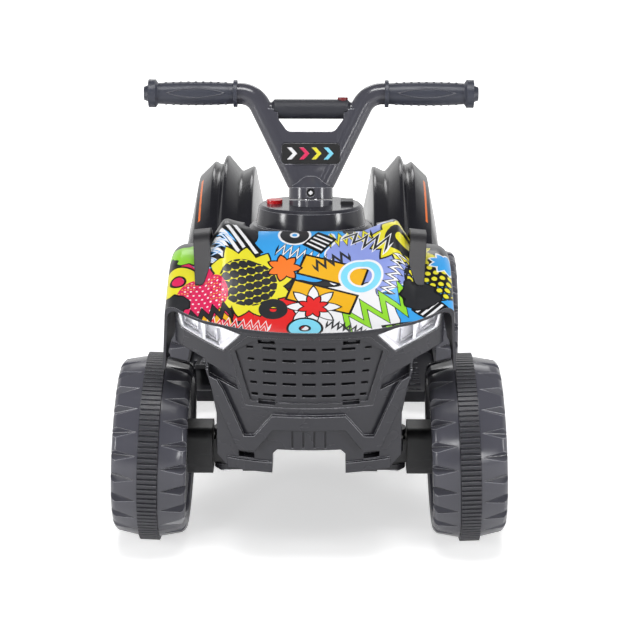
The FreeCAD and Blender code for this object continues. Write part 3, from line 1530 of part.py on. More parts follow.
def pedal_lugs():
    """Two lugs on the right footboard that hold the pedal's pivot."""
    lugs = []
    for start in (pedal_x - pedal_width / 2 - slip - pedal_lug_width, pedal_x + pedal_width / 2 + slip):
        low = vec(start, pedal_hinge_y - pedal_barrel_radius, board_z + board_thickness / 2)
        high = vec(start + pedal_lug_width, pedal_hinge_y, pedal_hinge_z)
        lugs.append(block(low, high.add(vec(0, pedal_barrel_radius, pedal_barrel_radius))))
    hole = rod(pedal_pin_radius + running, vec(pedal_x - pedal_width, pedal_hinge_y, pedal_hinge_z),
               vec(pedal_x + pedal_width, pedal_hinge_y, pedal_hinge_z))
    return lugs[0].fuse(lugs[1]).cut(hole)


def pedal_switch_shape():
    y = pedal_hinge_y - pedal_length * switch_place_share
    floor = board_z + board_thickness
    return block(vec(pedal_x - switch_width / 2, y - switch_length / 2, floor),
                 vec(pedal_x + switch_width / 2, y + switch_length / 2, floor + switch_height))


# Assembly

def build():
    shell_solid = shell_loft(0)
    cowl_outer = cowl_loft(0)
    under_cowl = cowl_loft(wall)
    seat = seat_shape(shell_solid)
    nodes = {
        "chassis_tub": tub_shape(),
        "body_shell": body_shell_shape(),
        "front_cowl": cowl_shape(cowl_outer, under_cowl, shell_solid),
        "front_fascia": fascia_shape(under_cowl, tub_solid(0)),
        "grille": grille_shape(under_cowl),
        "dash_cover": dash_shape(shell_solid),
        "column_bush": bush_shape(shell_solid),
        "seat": seat,
        "tail_panel": tail_panel_shape(shell_solid),
        "body_screws": screws_shape(),
        "battery": battery_shape(),
        "battery_strap": battery_strap_shape(),
        "gearbox": gearbox_shape(),
        "motor": motor_shape(),
        "rear_axle": rear_axle_shape(),
        "charge_socket": charge_socket_shape(),
        "kingpins": kingpins_shape(),
        "pedal_switch": pedal_switch_shape(),
        "handlebar": handlebar_shape(),
        "crossbar_pad": pad_shape(),
        "badge_plate": badge_shape(),
        "stem_bolt": stem_bolt_shape(),
        "steering_column": column_shape(),
        "start_button": start_button_shape(),
        "direction_rocker": rocker_shape(),
        "horn_button": horn_shape(),
        "throttle_pedal": pedal_shape(),
        "tie_rod": tie_rod_shape(),
        "drive_hub": drive_hub_shape(),
    }
    pairs = {
        "headlight_lens": lens_shape(under_cowl),
        "headlight_reflector": reflector_shape(under_cowl),
        "rack_strap": strap_shape(cowl_outer),
        "rear_fender": fender_shape(shell_solid, seat),
        "tail_light": tail_light_shape(),
        "grip": grip_shape().cut(nodes["handlebar"]),
        "knuckle": knuckle_shape(),
        "spindle": spindle_shape(),
    }
    for name, left in pairs.items():
        nodes[name + "_left"] = left
        nodes[name + "_right"] = mirrored(left)
    wheel_pieces = {"wheel": wheel_shape(), "traction_band": band_shape(), "hub_cap": cap_shape()}
    nut = nut_shape(hub_face + slip, axle_radius)
    for end, front in (("front", True), ("rear", False)):
        for side in ("left", "right"):
            for name, shape in wheel_pieces.items():
                nodes[f"{end}_{name}_{side}"] = at_wheel(shape, side, front)
    for side in ("left", "right"):
        nodes["spindle_nut_" + side] = at_wheel(nut, side, True)
    nodes["rear_axle_nuts"] = Part.makeCompound([at_wheel(nut, side, False) for side in ("left", "right")])
    return nodes


os.makedirs("parts", exist_ok=True)
for node_name, node_shape in build().items():
    print(node_name, len(node_shape.Solids), round(node_shape.Volume), node_shape.isValid())
    node_shape.exportStep(f"parts/{node_name}.step")
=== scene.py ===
# Looks of a kids quad bike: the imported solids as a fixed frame, with finishes and small printed
# and pressed details added piece by piece, in the order in which the vehicle is put together.
import json
import math

import bpy
import bmesh
from mathutils import Matrix, Vector


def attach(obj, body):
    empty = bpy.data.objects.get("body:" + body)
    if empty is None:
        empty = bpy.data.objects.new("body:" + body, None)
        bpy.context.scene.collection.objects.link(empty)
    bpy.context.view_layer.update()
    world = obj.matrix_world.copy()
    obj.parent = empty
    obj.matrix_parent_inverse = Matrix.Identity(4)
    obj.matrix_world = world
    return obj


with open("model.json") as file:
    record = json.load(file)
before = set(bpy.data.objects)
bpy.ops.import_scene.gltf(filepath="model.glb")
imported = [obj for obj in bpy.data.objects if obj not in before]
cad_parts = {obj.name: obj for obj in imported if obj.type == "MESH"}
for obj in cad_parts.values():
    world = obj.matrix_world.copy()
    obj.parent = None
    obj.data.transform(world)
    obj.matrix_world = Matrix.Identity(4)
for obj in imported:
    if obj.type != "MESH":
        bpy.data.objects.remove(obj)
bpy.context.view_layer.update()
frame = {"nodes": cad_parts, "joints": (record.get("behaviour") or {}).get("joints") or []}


# Studio
# A white sweep under soft boxes, with the darker half of the room behind the camera. The camera stands
# two metres in front of the bike's middle, almost on its centre line, and looks slightly down on it.

camera_place = (0.018, -2.047, 0.850)
camera_tilt = math.radians(18)
camera_turn = math.radians(0.56)
camera_lens = 107.48
sensor_width = 36.0
white = (1, 1, 1, 1)
floor_size = 14.0
floor_tone = 0.85
# The floor's own glow near the bike, the share of it that reflections see, and the distances in metres
# between which it grows to plain white
floor_glow = 0.56
floor_mirrored = 0.45
white_from = 0.35
white_beyond = 1.5
# Strength of the room's light on the bike, and how dark reflections find the room behind the camera and
# the ceiling, with the directions between which each fades in
sky_tone = 0.24
room_tone = 0.16
room_fades = (-0.5, 0.4)
ceiling_tone = 0.15
ceiling_fades = (0.15, 0.65)
# Each soft box: name, place, width and height in metres, and power in watts; all face the bike
soft_boxes = [
    ("overhead_box", (0.0, -0.8, 2.2), 1.1, 0.6, 27.0),
    ("left_strip", (-1.7, -1.0, 0.50), 0.30, 0.85, 16.0),
    ("right_strip", (1.7, -1.0, 0.50), 0.30, 0.85, 15.0),
    ("front_left_box", (-0.9, -2.3, 1.1), 0.30, 0.30, 5.0),
    ("front_right_box", (1.0, -2.0, 0.40), 0.25, 0.30, 3.0),
    ("back_box", (0.0, 1.9, 1.6), 1.6, 0.6, 12.0),
]
light_aim = Vector((0.0, -0.1, 0.2))


def plug(tree, socket, value):
    """Links a socket to another node's socket, or sets its value."""
    if isinstance(value, bpy.types.NodeSocket):
        tree.links.new(value, socket)
    elif value is not None:
        socket.default_value = value


def shader_node(tree, kind, **inputs):
    """Adds a node and fills its inputs, which are named, or numbered as i0, i1 and so on."""
    node = tree.nodes.new(kind)
    for key, value in inputs.items():
        numbered = key[0] == "i" and key[1:].isdigit()
        plug(tree, node.inputs[int(key[1:]) if numbered else key.replace("_", " ")], value)
    return node


def sums(tree, operation, first, second=None, third=None, clamp=False):
    """One Math node; returns its result."""
    node = tree.nodes.new("ShaderNodeMath")
    node.operation = operation
    node.use_clamp = clamp
    for socket, value in zip(node.inputs, (first, second, third)):
        plug(tree, socket, value)
    return node.outputs[0]


def ranged(tree, value, low, high, start=0.0, end=1.0):
    """Takes a value that runs from start to end over to the range from low to high."""
    node = shader_node(tree, "ShaderNodeMapRange", Value=value, From_Min=start, From_Max=end,
                       To_Min=low, To_Max=high)
    return node.outputs["Result"]


def length_of(tree, vector):
    """Length of a vector."""
    node = tree.nodes.new("ShaderNodeVectorMath")
    node.operation = "LENGTH"
    plug(tree, node.inputs[0], vector)
    return node.outputs["Value"]


def blank_material(name):
    """A new material with an empty tree; returns both."""
    material = bpy.data.materials.new(name)
    material.use_nodes = True
    material.node_tree.nodes.clear()
    return material, material.node_tree


def as_seen(tree, mirrored=1.0):
    """1 for rays from the camera or a clear lens, which see the backdrop; a share for reflections."""
    rays = shader_node(tree, "ShaderNodeLightPath").outputs
    direct = sums(tree, "MAXIMUM", rays["Is Camera Ray"], rays["Is Transmission Ray"])
    return sums(tree, "MAXIMUM", direct, sums(tree, "MULTIPLY", rays["Is Glossy Ray"], mirrored))


world = bpy.data.worlds.new("studio")
bpy.context.scene.world = world
world.use_nodes = True
tree = world.node_tree
tree.nodes.clear()
view_ray = shader_node(tree, "ShaderNodeTexCoord").outputs["Generated"]
view_parts = shader_node(tree, "ShaderNodeSeparateXYZ", Vector=view_ray).outputs
room = ranged(tree, view_parts["Y"], room_tone, 1.0, *room_fades)
ceiling = ranged(tree, view_parts["Z"], 1.0, ceiling_tone, *ceiling_fades)
sky_strength = ranged(tree, as_seen(tree), sky_tone, sums(tree, "MULTIPLY", room, ceiling))
sky = shader_node(tree, "ShaderNodeBackground", Color=white, Strength=sky_strength)
plain_white = shader_node(tree, "ShaderNodeBackground", Color=white, Strength=1.0)
to_camera = shader_node(tree, "ShaderNodeLightPath").outputs["Is Camera Ray"]
sky_mix = shader_node(tree, "ShaderNodeMixShader", Fac=to_camera, i1=sky.outputs[0],
                      i2=plain_white.outputs[0])
shader_node(tree, "ShaderNodeOutputWorld", Surface=sky_mix.outputs[0])

floor_mesh = bmesh.new()
bmesh.ops.create_grid(floor_mesh, x_segments=1, y_segments=1, size=floor_size)
floor_data = bpy.data.meshes.new("floor")
floor_mesh.to_mesh(floor_data)
floor_mesh.free()
floor = bpy.data.objects.new("floor", floor_data)
bpy.context.scene.collection.objects.link(floor)
floor_material, tree = blank_material("floor")
matt = shader_node(tree, "ShaderNodeBsdfDiffuse", Color=(floor_tone, floor_tone, floor_tone, 1))
floor_place = shader_node(tree, "ShaderNodeTexCoord").outputs["Object"]
spread = ranged(tree, length_of(tree, floor_place), floor_glow, 1.0, white_from, white_beyond)
glow_strength = ranged(tree, as_seen(tree, floor_mirrored), 0.0, spread)
glow = shader_node(tree, "ShaderNodeEmission", Color=white, Strength=glow_strength)
floor_sum = shader_node(tree, "ShaderNodeAddShader", i0=matt.outputs[0], i1=glow.outputs[0])
shader_node(tree, "ShaderNodeOutputMaterial", Surface=floor_sum.outputs[0])
floor_data.materials.append(floor_material)

for box_name, place, width, height, power in soft_boxes:
    lamp = bpy.data.lights.new(box_name, "AREA")
    lamp.shape = "RECTANGLE"
    lamp.size = width
    lamp.size_y = height
    lamp.energy = power
    lamp_object = bpy.data.objects.new(box_name, lamp)
    lamp_object.location = place
    lamp_object.rotation_euler = (light_aim - Vector(place)).to_track_quat("-Z", "Y").to_euler()
    bpy.context.scene.collection.objects.link(lamp_object)

camera_data = bpy.data.cameras.new("camera")
camera_data.lens = camera_lens
camera_data.sensor_width = sensor_width
camera_data.sensor_fit = "HORIZONTAL"
camera = bpy.data.objects.new("camera", camera_data)
camera.location = camera_place
camera.rotation_euler = (math.pi / 2 - camera_tilt, 0, camera_turn)
bpy.context.scene.collection.objects.link(camera)
bpy.context.scene.camera = camera
bpy.context.scene.view_settings.view_transform = "Standard"


# Chassis tub, body shell, fascia, dash and tail
# Injection moulded in black gloss plastic and screwed together. The skin has a faint ripple from the
# mould, painted highlights along its upper edges and painted shade below them, and dull rub marks where
# feet pass.

body_black = (0.027, 0.027, 0.034)
tub_black = (0.028, 0.028, 0.034)
dash_black = (0.034, 0.034, 0.042)
# A pale colour painted on upper edges as a highlight, and a near-black painted under edges as shade
edge_highlight_color = (0.52, 0.52, 0.56, 1)
edge_shade_color = (0.003, 0.003, 0.004, 1)
dust_color = (0.22, 0.22, 0.225, 1)
# Ripple and grain: how many to the metre, depth in metres, and what the ripple does to shine and normal
ripple_scale = 26.0
ripple_detail = 2.0
ripple_depth = 0.002
ripple_dulls = 0.10
ripple_bump = 0.04
grain_scale = 1500.0
grain_detail = 2.0
grain_depth = 0.0004
# Rub marks: streaks of noise, drawn out and turned, and what they do to colour and shine
streak_scale = 46.0
streak_detail = 6.0
streak_fray = 0.7
streak_stretch = (1.0, 1.0, 5.0)
streak_turn = (0.5, 0.4, 0.9)
streak_fades = (0.56, 0.72)
rub_dust = 0.16
rub_dulls = 0.22
# Edges: rounding in metres, how far the rounded normal has to rise for a painted highlight or fall for
# painted shade, and how strong each is
edge_radius = 0.0008
edge_samples = 4
edge_fades = (0.08, 0.45)
edge_highlight_share = 0.8
edge_shade_share = 0.9
# Sockets of a Mix node that are in use when it mixes colours
mix_share, mix_under, mix_over, mix_color = 0, 6, 7, 2
solids = frame["nodes"]
weld_reach = 0.00002
crease_angle = math.radians(32)


def shader_group(name, inputs, outputs):
    """A new node group whose sockets are given as (kind, name), with its two ends."""
    group = bpy.data.node_groups.new(name, "ShaderNodeTree")
    for in_out, sockets in (("INPUT", inputs), ("OUTPUT", outputs)):
        for kind, socket_name in sockets:
            group.interface.new_socket(socket_name, in_out=in_out, socket_type="NodeSocket" + kind)
    return group, group.nodes.new("NodeGroupInput"), group.nodes.new("NodeGroupOutput")


def group_node(tree, group, **inputs):
    """Places a node group and fills its inputs."""
    node = tree.nodes.new("ShaderNodeGroup")
    node.node_tree = group
    for key, value in inputs.items():
        plug(tree, node.inputs[key], value)
    return node


def mixed(tree, share, under, over):
    """Colour mix; returns the mixed colour."""
    node = tree.nodes.new("ShaderNodeMix")
    node.data_type = "RGBA"
    for index, value in ((mix_share, share), (mix_under, under), (mix_over, over)):
        plug(tree, node.inputs[index], value)
    return node.outputs[mix_color]


def noise(tree, place, scale, detail, **settings):
    """Noise over a place; returns its value."""
    return shader_node(tree, "ShaderNodeTexNoise", Vector=place, Scale=scale, Detail=detail,
                       **settings).outputs["Fac"]


def bumped(tree, height, strength, depth, normal=None):
    """The normal of a surface that rises by a height."""
    return shader_node(tree, "ShaderNodeBump", Strength=strength, Distance=depth, Height=height,
                       Normal=normal).outputs[0]


def moulded_skin_group():
    """Colour, roughness and normal of moulded plastic: ripple, grain, rub marks, and painted highlight
    and shade on edges.
    """
    group, given, result = shader_group(
        "moulded_skin",
        [("Color", "Color"), ("Float", "Shine"), ("Float", "Grain"), ("Float", "Rub"),
         ("Float", "Edge")],
        [("Color", "Color"), ("Float", "Roughness"), ("Vector", "Normal")])
    asked = given.outputs
    place = shader_node(group, "ShaderNodeTexCoord").outputs["Object"]
    ripple = noise(group, place, ripple_scale, ripple_detail)
    grain = noise(group, place, grain_scale, grain_detail)
    stretched = shader_node(group, "ShaderNodeMapping", Vector=place, Scale=streak_stretch,
                            Rotation=streak_turn).outputs[0]
    streaks = noise(group, stretched, streak_scale, streak_detail, Roughness=streak_fray)
    rub = sums(group, "MULTIPLY", ranged(group, streaks, 0.0, 1.0, *streak_fades), asked["Rub"])
    dusty = mixed(group, sums(group, "MULTIPLY", rub, rub_dust), asked["Color"], dust_color)
    uneven = sums(group, "MULTIPLY_ADD", ripple, ripple_dulls, -ripple_dulls / 2)
    shine = sums(group, "ADD", asked["Shine"], uneven)
    dull = sums(group, "MULTIPLY_ADD", rub, rub_dulls, shine, clamp=True)
    soft_edge = shader_node(group, "ShaderNodeBevel", Radius=asked["Edge"])
    soft_edge.samples = edge_samples
    rounded = soft_edge.outputs[0]
    flat = shader_node(group, "ShaderNodeNewGeometry").outputs["Normal"]
    flat_rise = shader_node(group, "ShaderNodeSeparateXYZ", Vector=flat).outputs["Z"]
    soft_rise = shader_node(group, "ShaderNodeSeparateXYZ", Vector=rounded).outputs["Z"]
    # Painted highlight where the rounded normal rises above the flat one, painted shade where it falls
    # below
    painted_highlight = ranged(group, sums(group, "SUBTRACT", soft_rise, flat_rise), 0.0, edge_highlight_share, *edge_fades)
    painted_shade = ranged(group, sums(group, "SUBTRACT", flat_rise, soft_rise), 0.0, edge_shade_share, *edge_fades)
    edge_painted = mixed(group, painted_highlight, mixed(group, painted_shade, dusty, edge_shade_color), edge_highlight_color)
    waves = bumped(group, ripple, ripple_bump, ripple_depth, rounded)
    fine = bumped(group, grain, asked["Grain"], grain_depth, waves)
    for name, value in (("Color", edge_painted), ("Roughness", dull), ("Normal", fine)):
        group.links.new(value, result.inputs[name])
    return group


moulded_skin = moulded_skin_group()


def moulding(name, color, shine, grain, rub, edge=edge_radius, gloss_coat=0.0):
    """Moulded plastic, with its tree, skin group and shader for further work."""
    material, tree = blank_material(name)
    skin = group_node(tree, moulded_skin, Color=(*color, 1), Shine=shine, Grain=grain, Rub=rub,
                      Edge=edge)
    shader = shader_node(tree, "ShaderNodeBsdfPrincipled", Base_Color=skin.outputs["Color"],
                         Roughness=skin.outputs["Roughness"], Normal=skin.outputs["Normal"],
                         Coat_Weight=gloss_coat)
    shader_node(tree, "ShaderNodeOutputMaterial", Surface=shader.outputs[0])
    return material, tree, skin, shader


def plastic(name, color, **finish):
    """Moulded plastic that is used as it is."""
    return moulding(name, color, **finish)[0]


def dress(material, *names):
    """Gives solids their finish, and smooth shading that breaks at their real edges."""
    for name in names:
        solid = solids[name]
        solid.data.materials.clear()
        solid.data.materials.append(material)
        solid.data.polygons.foreach_set("use_smooth", [True] * len(solid.data.polygons))
        weld = solid.modifiers.new("weld", "WELD")
        weld.merge_threshold = weld_reach
        creases = solid.modifiers.new("creases", "EDGE_SPLIT")
        creases.split_angle = crease_angle


body_plastic = plastic("body_plastic", body_black, shine=0.27, grain=0.0, rub=0.05, edge=0.0013)
dash_plastic = plastic("dash_plastic", dash_black, shine=0.16, grain=0.0, rub=0.2, edge=0.0015)
tub_plastic = plastic("tub_plastic", tub_black, shine=0.45, grain=0.25, rub=0.8)
dress(body_plastic, "body_shell", "front_fascia", "tail_panel")
dress(dash_plastic, "dash_cover")
dress(tub_plastic, "chassis_tub")


# Hood
# One black moulding that carries the hood and both front mudguards. A printed film of bold shapes is
# heat-pressed over its top and stops short of the mudguard skirts, which stay plain black.

MM = 0.001
film_dark = (0.022, 0.023, 0.026, 1)
film_line = (0.006, 0.006, 0.007, 1)
film_white = (0.76, 0.76, 0.78, 1)
film_yellow = (0.72, 0.66, 0.03, 1)
film_lime = (0.26, 0.62, 0.03, 1)
film_amber = (0.76, 0.40, 0.01, 1)
film_orange = (0.86, 0.18, 0.02, 1)
film_crimson = (0.66, 0.02, 0.10, 1)
film_red = (0.70, 0.02, 0.02, 1)
film_sky = (0.04, 0.33, 0.74, 1)
film_lilac = (0.24, 0.30, 0.66, 1)
film_aqua = (0.20, 0.62, 0.80, 1)
# The film's lower edge on the hood in mm and the hood's slope, which lay the print flat
hood_nose = (0.0, -330.0, 268.0)
hood_rise = math.radians(33.0)
# Drawn outline in mm, the least upward lean of a face that carries film, the film's gloss, and how
# lobed a splash is
film_outline = 2.4
film_steepest = 0.30
film_sheen = 0.28
splash_lobes = 1.7


def shape_group(name, *keys):
    """A film shape: takes its own local place and gives the distance to its edge, less than 0 inside."""
    sockets = [("Vector", "Place")] + [("Float", key) for key in keys]
    return shader_group(name, sockets, [("Float", "Edge")])


def flat_place(tree, given):
    """A shape's place across and along the film, and its distance from the shape's middle."""
    parts = shader_node(tree, "ShaderNodeSeparateXYZ", Vector=given.outputs["Place"])
    across, along = parts.outputs[0], parts.outputs[1]
    level = shader_node(tree, "ShaderNodeCombineXYZ", X=across, Y=along)
    return across, along, length_of(tree, level.outputs[0])


def sawtooth(tree, value, count):
    """Triangle wave from 0 to 1."""
    return sums(tree, "MULTIPLY", sums(tree, "PINGPONG", sums(tree, "MULTIPLY", value, count), 0.5), 2.0)


def burst_group():
    """Star burst: a round shape with straight-sided spikes."""
    group, given, result = shape_group("film_burst", "Points", "Depth")
    across, along, reach = flat_place(group, given)
    turn = sums(group, "DIVIDE", sums(group, "ARCTAN2", along, across), 2 * math.pi)
    wave = sawtooth(group, turn, given.outputs["Points"])
    spike = sums(group, "MULTIPLY", wave, given.outputs["Depth"])
    group.links.new(sums(group, "ADD", sums(group, "SUBTRACT", reach, 1.0), spike), result.inputs[0])
    return group


def zigzag_group():
    """Zigzag ribbon of even width with square ends."""
    group, given, result = shape_group("film_zigzag", "Points", "Depth", "Width")
    across, along, _ = flat_place(group, given)
    wave = sums(group, "MULTIPLY_ADD", sawtooth(group, across, given.outputs["Points"]), 2.0, -1.0)
    middle = sums(group, "MULTIPLY", wave, given.outputs["Depth"])
    ribbon = sums(group, "SUBTRACT", sums(group, "ABSOLUTE", sums(group, "SUBTRACT", along, middle)),
                  given.outputs["Width"])
    ends = sums(group, "SUBTRACT", sums(group, "ABSOLUTE", across), 1.0)
    group.links.new(sums(group, "MAXIMUM", ribbon, ends), result.inputs[0])
    return group


def ring_group():
    """Ring of even width."""
    group, given, result = shape_group("film_ring", "Width")
    reach = flat_place(group, given)[2]
    band = sums(group, "ABSOLUTE", sums(group, "SUBTRACT", reach, 1.0))
    group.links.new(sums(group, "SUBTRACT", band, given.outputs["Width"]), result.inputs[0])
    return group


def dots_group():
    """Rows of dots inside a round field."""
    group, given, result = shape_group("film_dots", "Points", "Width")
    across, along, reach = flat_place(group, given)
    count = given.outputs["Points"]
    row = sums(group, "MULTIPLY", along, count)
    odd = sums(group, "MODULO", sums(group, "ABSOLUTE", sums(group, "FLOOR", row)), 2.0)
    shift = sums(group, "MULTIPLY", odd, 0.5)
    column = sums(group, "ADD", sums(group, "MULTIPLY", across, count), shift)
    dx = sums(group, "SUBTRACT", sums(group, "FRACT", column), 0.5)
    dy = sums(group, "SUBTRACT", sums(group, "FRACT", row), 0.5)
    square = sums(group, "ADD", sums(group, "MULTIPLY", dx, dx), sums(group, "MULTIPLY", dy, dy))
    rim = sums(group, "SUBTRACT", sums(group, "SQRT", square), given.outputs["Width"])
    field = sums(group, "SUBTRACT", reach, 1.0)
    group.links.new(sums(group, "MAXIMUM", sums(group, "DIVIDE", rim, count), field), result.inputs[0])
    return group


def bars_group():
    """Parallel bars inside a square patch."""
    group, given, result = shape_group("film_bars", "Points", "Width", "Depth")
    across, along, _ = flat_place(group, given)
    count = given.outputs["Points"]
    step = sums(group, "FRACT", sums(group, "MULTIPLY", across, count))
    bar = sums(group, "ABSOLUTE", sums(group, "SUBTRACT", step, 0.5))
    edge = sums(group, "DIVIDE", sums(group, "SUBTRACT", bar, given.outputs["Width"]), count)
    flanks = sums(group, "SUBTRACT", sums(group, "ABSOLUTE", across), 1.0)
    ends = sums(group, "SUBTRACT", sums(group, "ABSOLUTE", along), given.outputs["Depth"])
    group.links.new(sums(group, "MAXIMUM", sums(group, "MAXIMUM", edge, flanks), ends), result.inputs[0])
    return group


def splash_group():
    """Splash of paint: a disc with a loose, lobed edge."""
    group, given, result = shape_group("film_splash", "Depth")
    reach = flat_place(group, given)[2]
    lobes = noise(group, given.outputs["Place"], splash_lobes, 0.0)
    wander = sums(group, "MULTIPLY", sums(group, "SUBTRACT", lobes, 0.5), given.outputs["Depth"])
    edge = sums(group, "ADD", sums(group, "SUBTRACT", reach, 1.0), sums(group, "MULTIPLY", wander, 2.0))
    group.links.new(edge, result.inputs[0])
    return group


def ink_group():
    """Lays one shape in its ink, with a drawn outline, over what is there."""
    group, given, result = shader_group(
        "film_ink", [("Color", "Under"), ("Color", "Ink"), ("Color", "Line"), ("Float", "Edge"),
                     ("Float", "Outline")], [("Color", "Color")])
    asked = given.outputs
    outlined = mixed(group, sums(group, "LESS_THAN", asked["Edge"], asked["Outline"]), asked["Under"],
                     asked["Line"])
    filled = mixed(group, sums(group, "LESS_THAN", asked["Edge"], 0.0), outlined, asked["Ink"])
    group.links.new(filled, result.inputs[0])
    return group


film_shapes = {"burst": burst_group(), "zigzag": zigzag_group(), "ring": ring_group(),
               "dots": dots_group(), "bars": bars_group(), "splash": splash_group()}
film_ink = ink_group()
# Shapes from the bottom layer up: kind, place across and up the hood in mm, size, turn in degrees, ink,
# outline colour, and the shape's own settings
film_layers = [
    ("splash", (-118, 58), 46, 20, film_crimson, film_line, {"Depth": 0.5}),
    ("splash", (112, 44), 44, 65, film_sky, film_line, {"Depth": 0.45}),
    ("splash", (-6, 128), 46, 110, film_sky, film_line, {"Depth": 0.5}),
    ("splash", (66, 112), 42, 0, film_lilac, film_white, {"Depth": 0.6}),
    ("splash", (-34, 26), 40, 200, film_red, film_line, {"Depth": 0.55}),
    ("splash", (40, 28), 42, 310, film_white, film_line, {"Depth": 0.6}),
    ("bars", (-84, 120), 26, 35, film_white, film_line, {"Points": 3.0, "Width": 0.25, "Depth": 0.8}),
    ("burst", (-62, 74), 45, 10, film_yellow, film_line, {"Points": 13.0, "Depth": 0.22}),
    ("dots", (-62, 74), 27, 25, film_dark, film_dark, {"Points": 3.0, "Width": 0.27}),
    ("burst", (96, 128), 34, 30, film_yellow, film_line, {"Points": 11.0, "Depth": 0.25}),
    ("ring", (96, 128), 14, 0, film_dark, film_dark, {"Width": 0.22}),
    ("zigzag", (70, 40), 42, 28, film_lime, film_line, {"Points": 2.0, "Depth": 0.34, "Width": 0.17}),
    ("zigzag", (-4, 112), 30, -22, film_white, film_line, {"Points": 4.0, "Depth": 0.24, "Width": 0.08}),
    ("zigzag", (-104, 108), 30, 50, film_white, film_sky, {"Points": 4.0, "Depth": 0.26, "Width": 0.08}),
    ("bars", (18, 74), 36, 72, film_amber, film_line, {"Points": 1.0, "Width": 0.34, "Depth": 0.9}),
    ("zigzag", (-112, 22), 34, 12, film_amber, film_line, {"Points": 2.0, "Depth": 0.22, "Width": 0.16}),
    ("burst", (4, 44), 27, 0, film_white, film_line, {"Points": 8.0, "Depth": 0.5}),
    ("burst", (4, 44), 15, 20, film_red, film_line, {"Points": 8.0, "Depth": 0.45}),
    ("ring", (52, 84), 17, 0, film_aqua, film_white, {"Width": 0.2}),
    ("ring", (-134, 84), 15, 0, film_yellow, film_line, {"Width": 0.42}),
    ("dots", (124, 84), 26, 15, film_yellow, film_line, {"Points": 3.0, "Width": 0.34}),
    ("bars", (128, 40), 19, -40, film_white, film_line, {"Points": 3.0, "Width": 0.22, "Depth": 0.7}),
    ("zigzag", (-70, 16), 30, -8, film_red, film_white, {"Points": 4.0, "Depth": 0.2, "Width": 0.1}),
    ("burst", (-26, 96), 17, 0, film_orange, film_line, {"Points": 7.0, "Depth": 0.4}),
    ("dots", (-108, 60), 24, 0, film_white, film_crimson, {"Points": 4.0, "Width": 0.18}),
    ("splash", (-128, 130), 18, 40, film_lime, film_line, {"Depth": 0.5}),
    ("zigzag", (36, 140), 26, 12, film_yellow, film_line, {"Points": 3.0, "Depth": 0.3, "Width": 0.13}),
    ("burst", (140, 116), 17, 0, film_sky, film_white, {"Points": 9.0, "Depth": 0.35}),
    ("ring", (-4, 10), 11, 0, film_aqua, film_line, {"Width": 0.45}),
    ("bars", (96, 10), 20, 15, film_lime, film_line, {"Points": 2.0, "Width": 0.3, "Depth": 0.5}),
    ("ring", (-16, 146), 10, 0, film_dark, film_white, {"Width": 0.5}),
    ("zigzag", (22, 106), 18, 24, film_dark, film_dark, {"Points": 2.0, "Depth": 0.32, "Width": 0.06}),
    ("zigzag", (60, 132), 26, -34, film_dark, film_white, {"Points": 2.0, "Depth": 0.3, "Width": 0.13}),
    ("splash", (112, 62), 18, 150, film_dark, film_line, {"Depth": 0.35}),
    ("zigzag", (-100, 34), 22, 12, film_dark, film_line, {"Points": 2.0, "Depth": 0.3, "Width": 0.2}),
    ("ring", (-36, 40), 9, 0, film_dark, film_dark, {"Width": 0.35}),
    ("zigzag", (36, 12), 18, -20, film_dark, film_dark, {"Points": 3.0, "Depth": 0.3, "Width": 0.06}),
    ("splash", (-136, 50), 13, 90, film_dark, film_line, {"Depth": 0.35}),
    ("zigzag", (86, 84), 24, 70, film_white, film_line, {"Points": 3.0, "Depth": 0.22, "Width": 0.09}),
    ("bars", (10, 134), 12, 55, film_white, film_line, {"Points": 2.0, "Width": 0.2, "Depth": 0.8}),
]


def film_color(tree):
    """The whole print, from coordinates laid flat along the hood's slope, in mm."""
    place = shader_node(tree, "ShaderNodeTexCoord").outputs["Object"]
    foot = Vector(hood_nose)
    foot.rotate(Matrix.Rotation(-hood_rise, 3, "X"))
    slope = shader_node(tree, "ShaderNodeMapping", Vector=place, Location=-foot,
                        Rotation=(-hood_rise, 0, 0), Scale=(1 / MM, 1 / MM, 1 / MM))
    color = film_dark
    for kind, middle, size, turn, ink, line, settings in film_layers:
        local = shader_node(tree, "ShaderNodeMapping", Vector=slope.outputs[0], Location=(*middle, 0),
                            Rotation=(0, 0, math.radians(turn)), Scale=(size, size, size))
        local.vector_type = "TEXTURE"
        shape = group_node(tree, film_shapes[kind], Place=local.outputs[0], **settings)
        color = group_node(tree, film_ink, Under=color, Ink=ink, Line=line, Edge=shape.outputs[0],
                           Outline=film_outline / size).outputs[0]
    return color


hood_plastic, tree, skin, shader = moulding("hood_plastic", body_black, shine=0.30, grain=0.03, rub=0.2,
                                            gloss_coat=0.08)
shader.inputs["Specular IOR Level"].default_value = film_sheen
hood_normal = shader_node(tree, "ShaderNodeNewGeometry").outputs["Normal"]
facing = shader_node(tree, "ShaderNodeSeparateXYZ", Vector=hood_normal).outputs["Z"]
covered = sums(tree, "GREATER_THAN", facing, film_steepest)
tree.links.new(mixed(tree, covered, (*body_black, 1), film_color(tree)), skin.inputs["Color"])
dress(hood_plastic, "front_cowl")


# Grille
# A separate slotted panel, held in the fascia by four clips whose tongues show in square windows. Its
# face is dull, so that the slots read as dark lines.

grille_black = (0.027, 0.027, 0.033)
# The clip tongues, in mm: place on the fascia, half widths, rise, depth, and how far back their foot lies
clip_across = 42.2
clip_heights = (253.2, 191.0)
clip_foot = 5.2
clip_tip = 2.6
clip_rise = 3.4
clip_depth = 2.2
clip_soft = 0.4
clip_behind = 6.5
# The fascia's bow: the middle of its arc, its reach at the top, and how far it leans in over its height
nose_middle = -120.0
fascia_reach = 204.0
fascia_top = 300.0
fascia_height = 228.0
fascia_lean = 10.0
fascia_lean_share = fascia_lean / fascia_height
soft_steps = 2
sides = (("left", 1), ("right", -1))


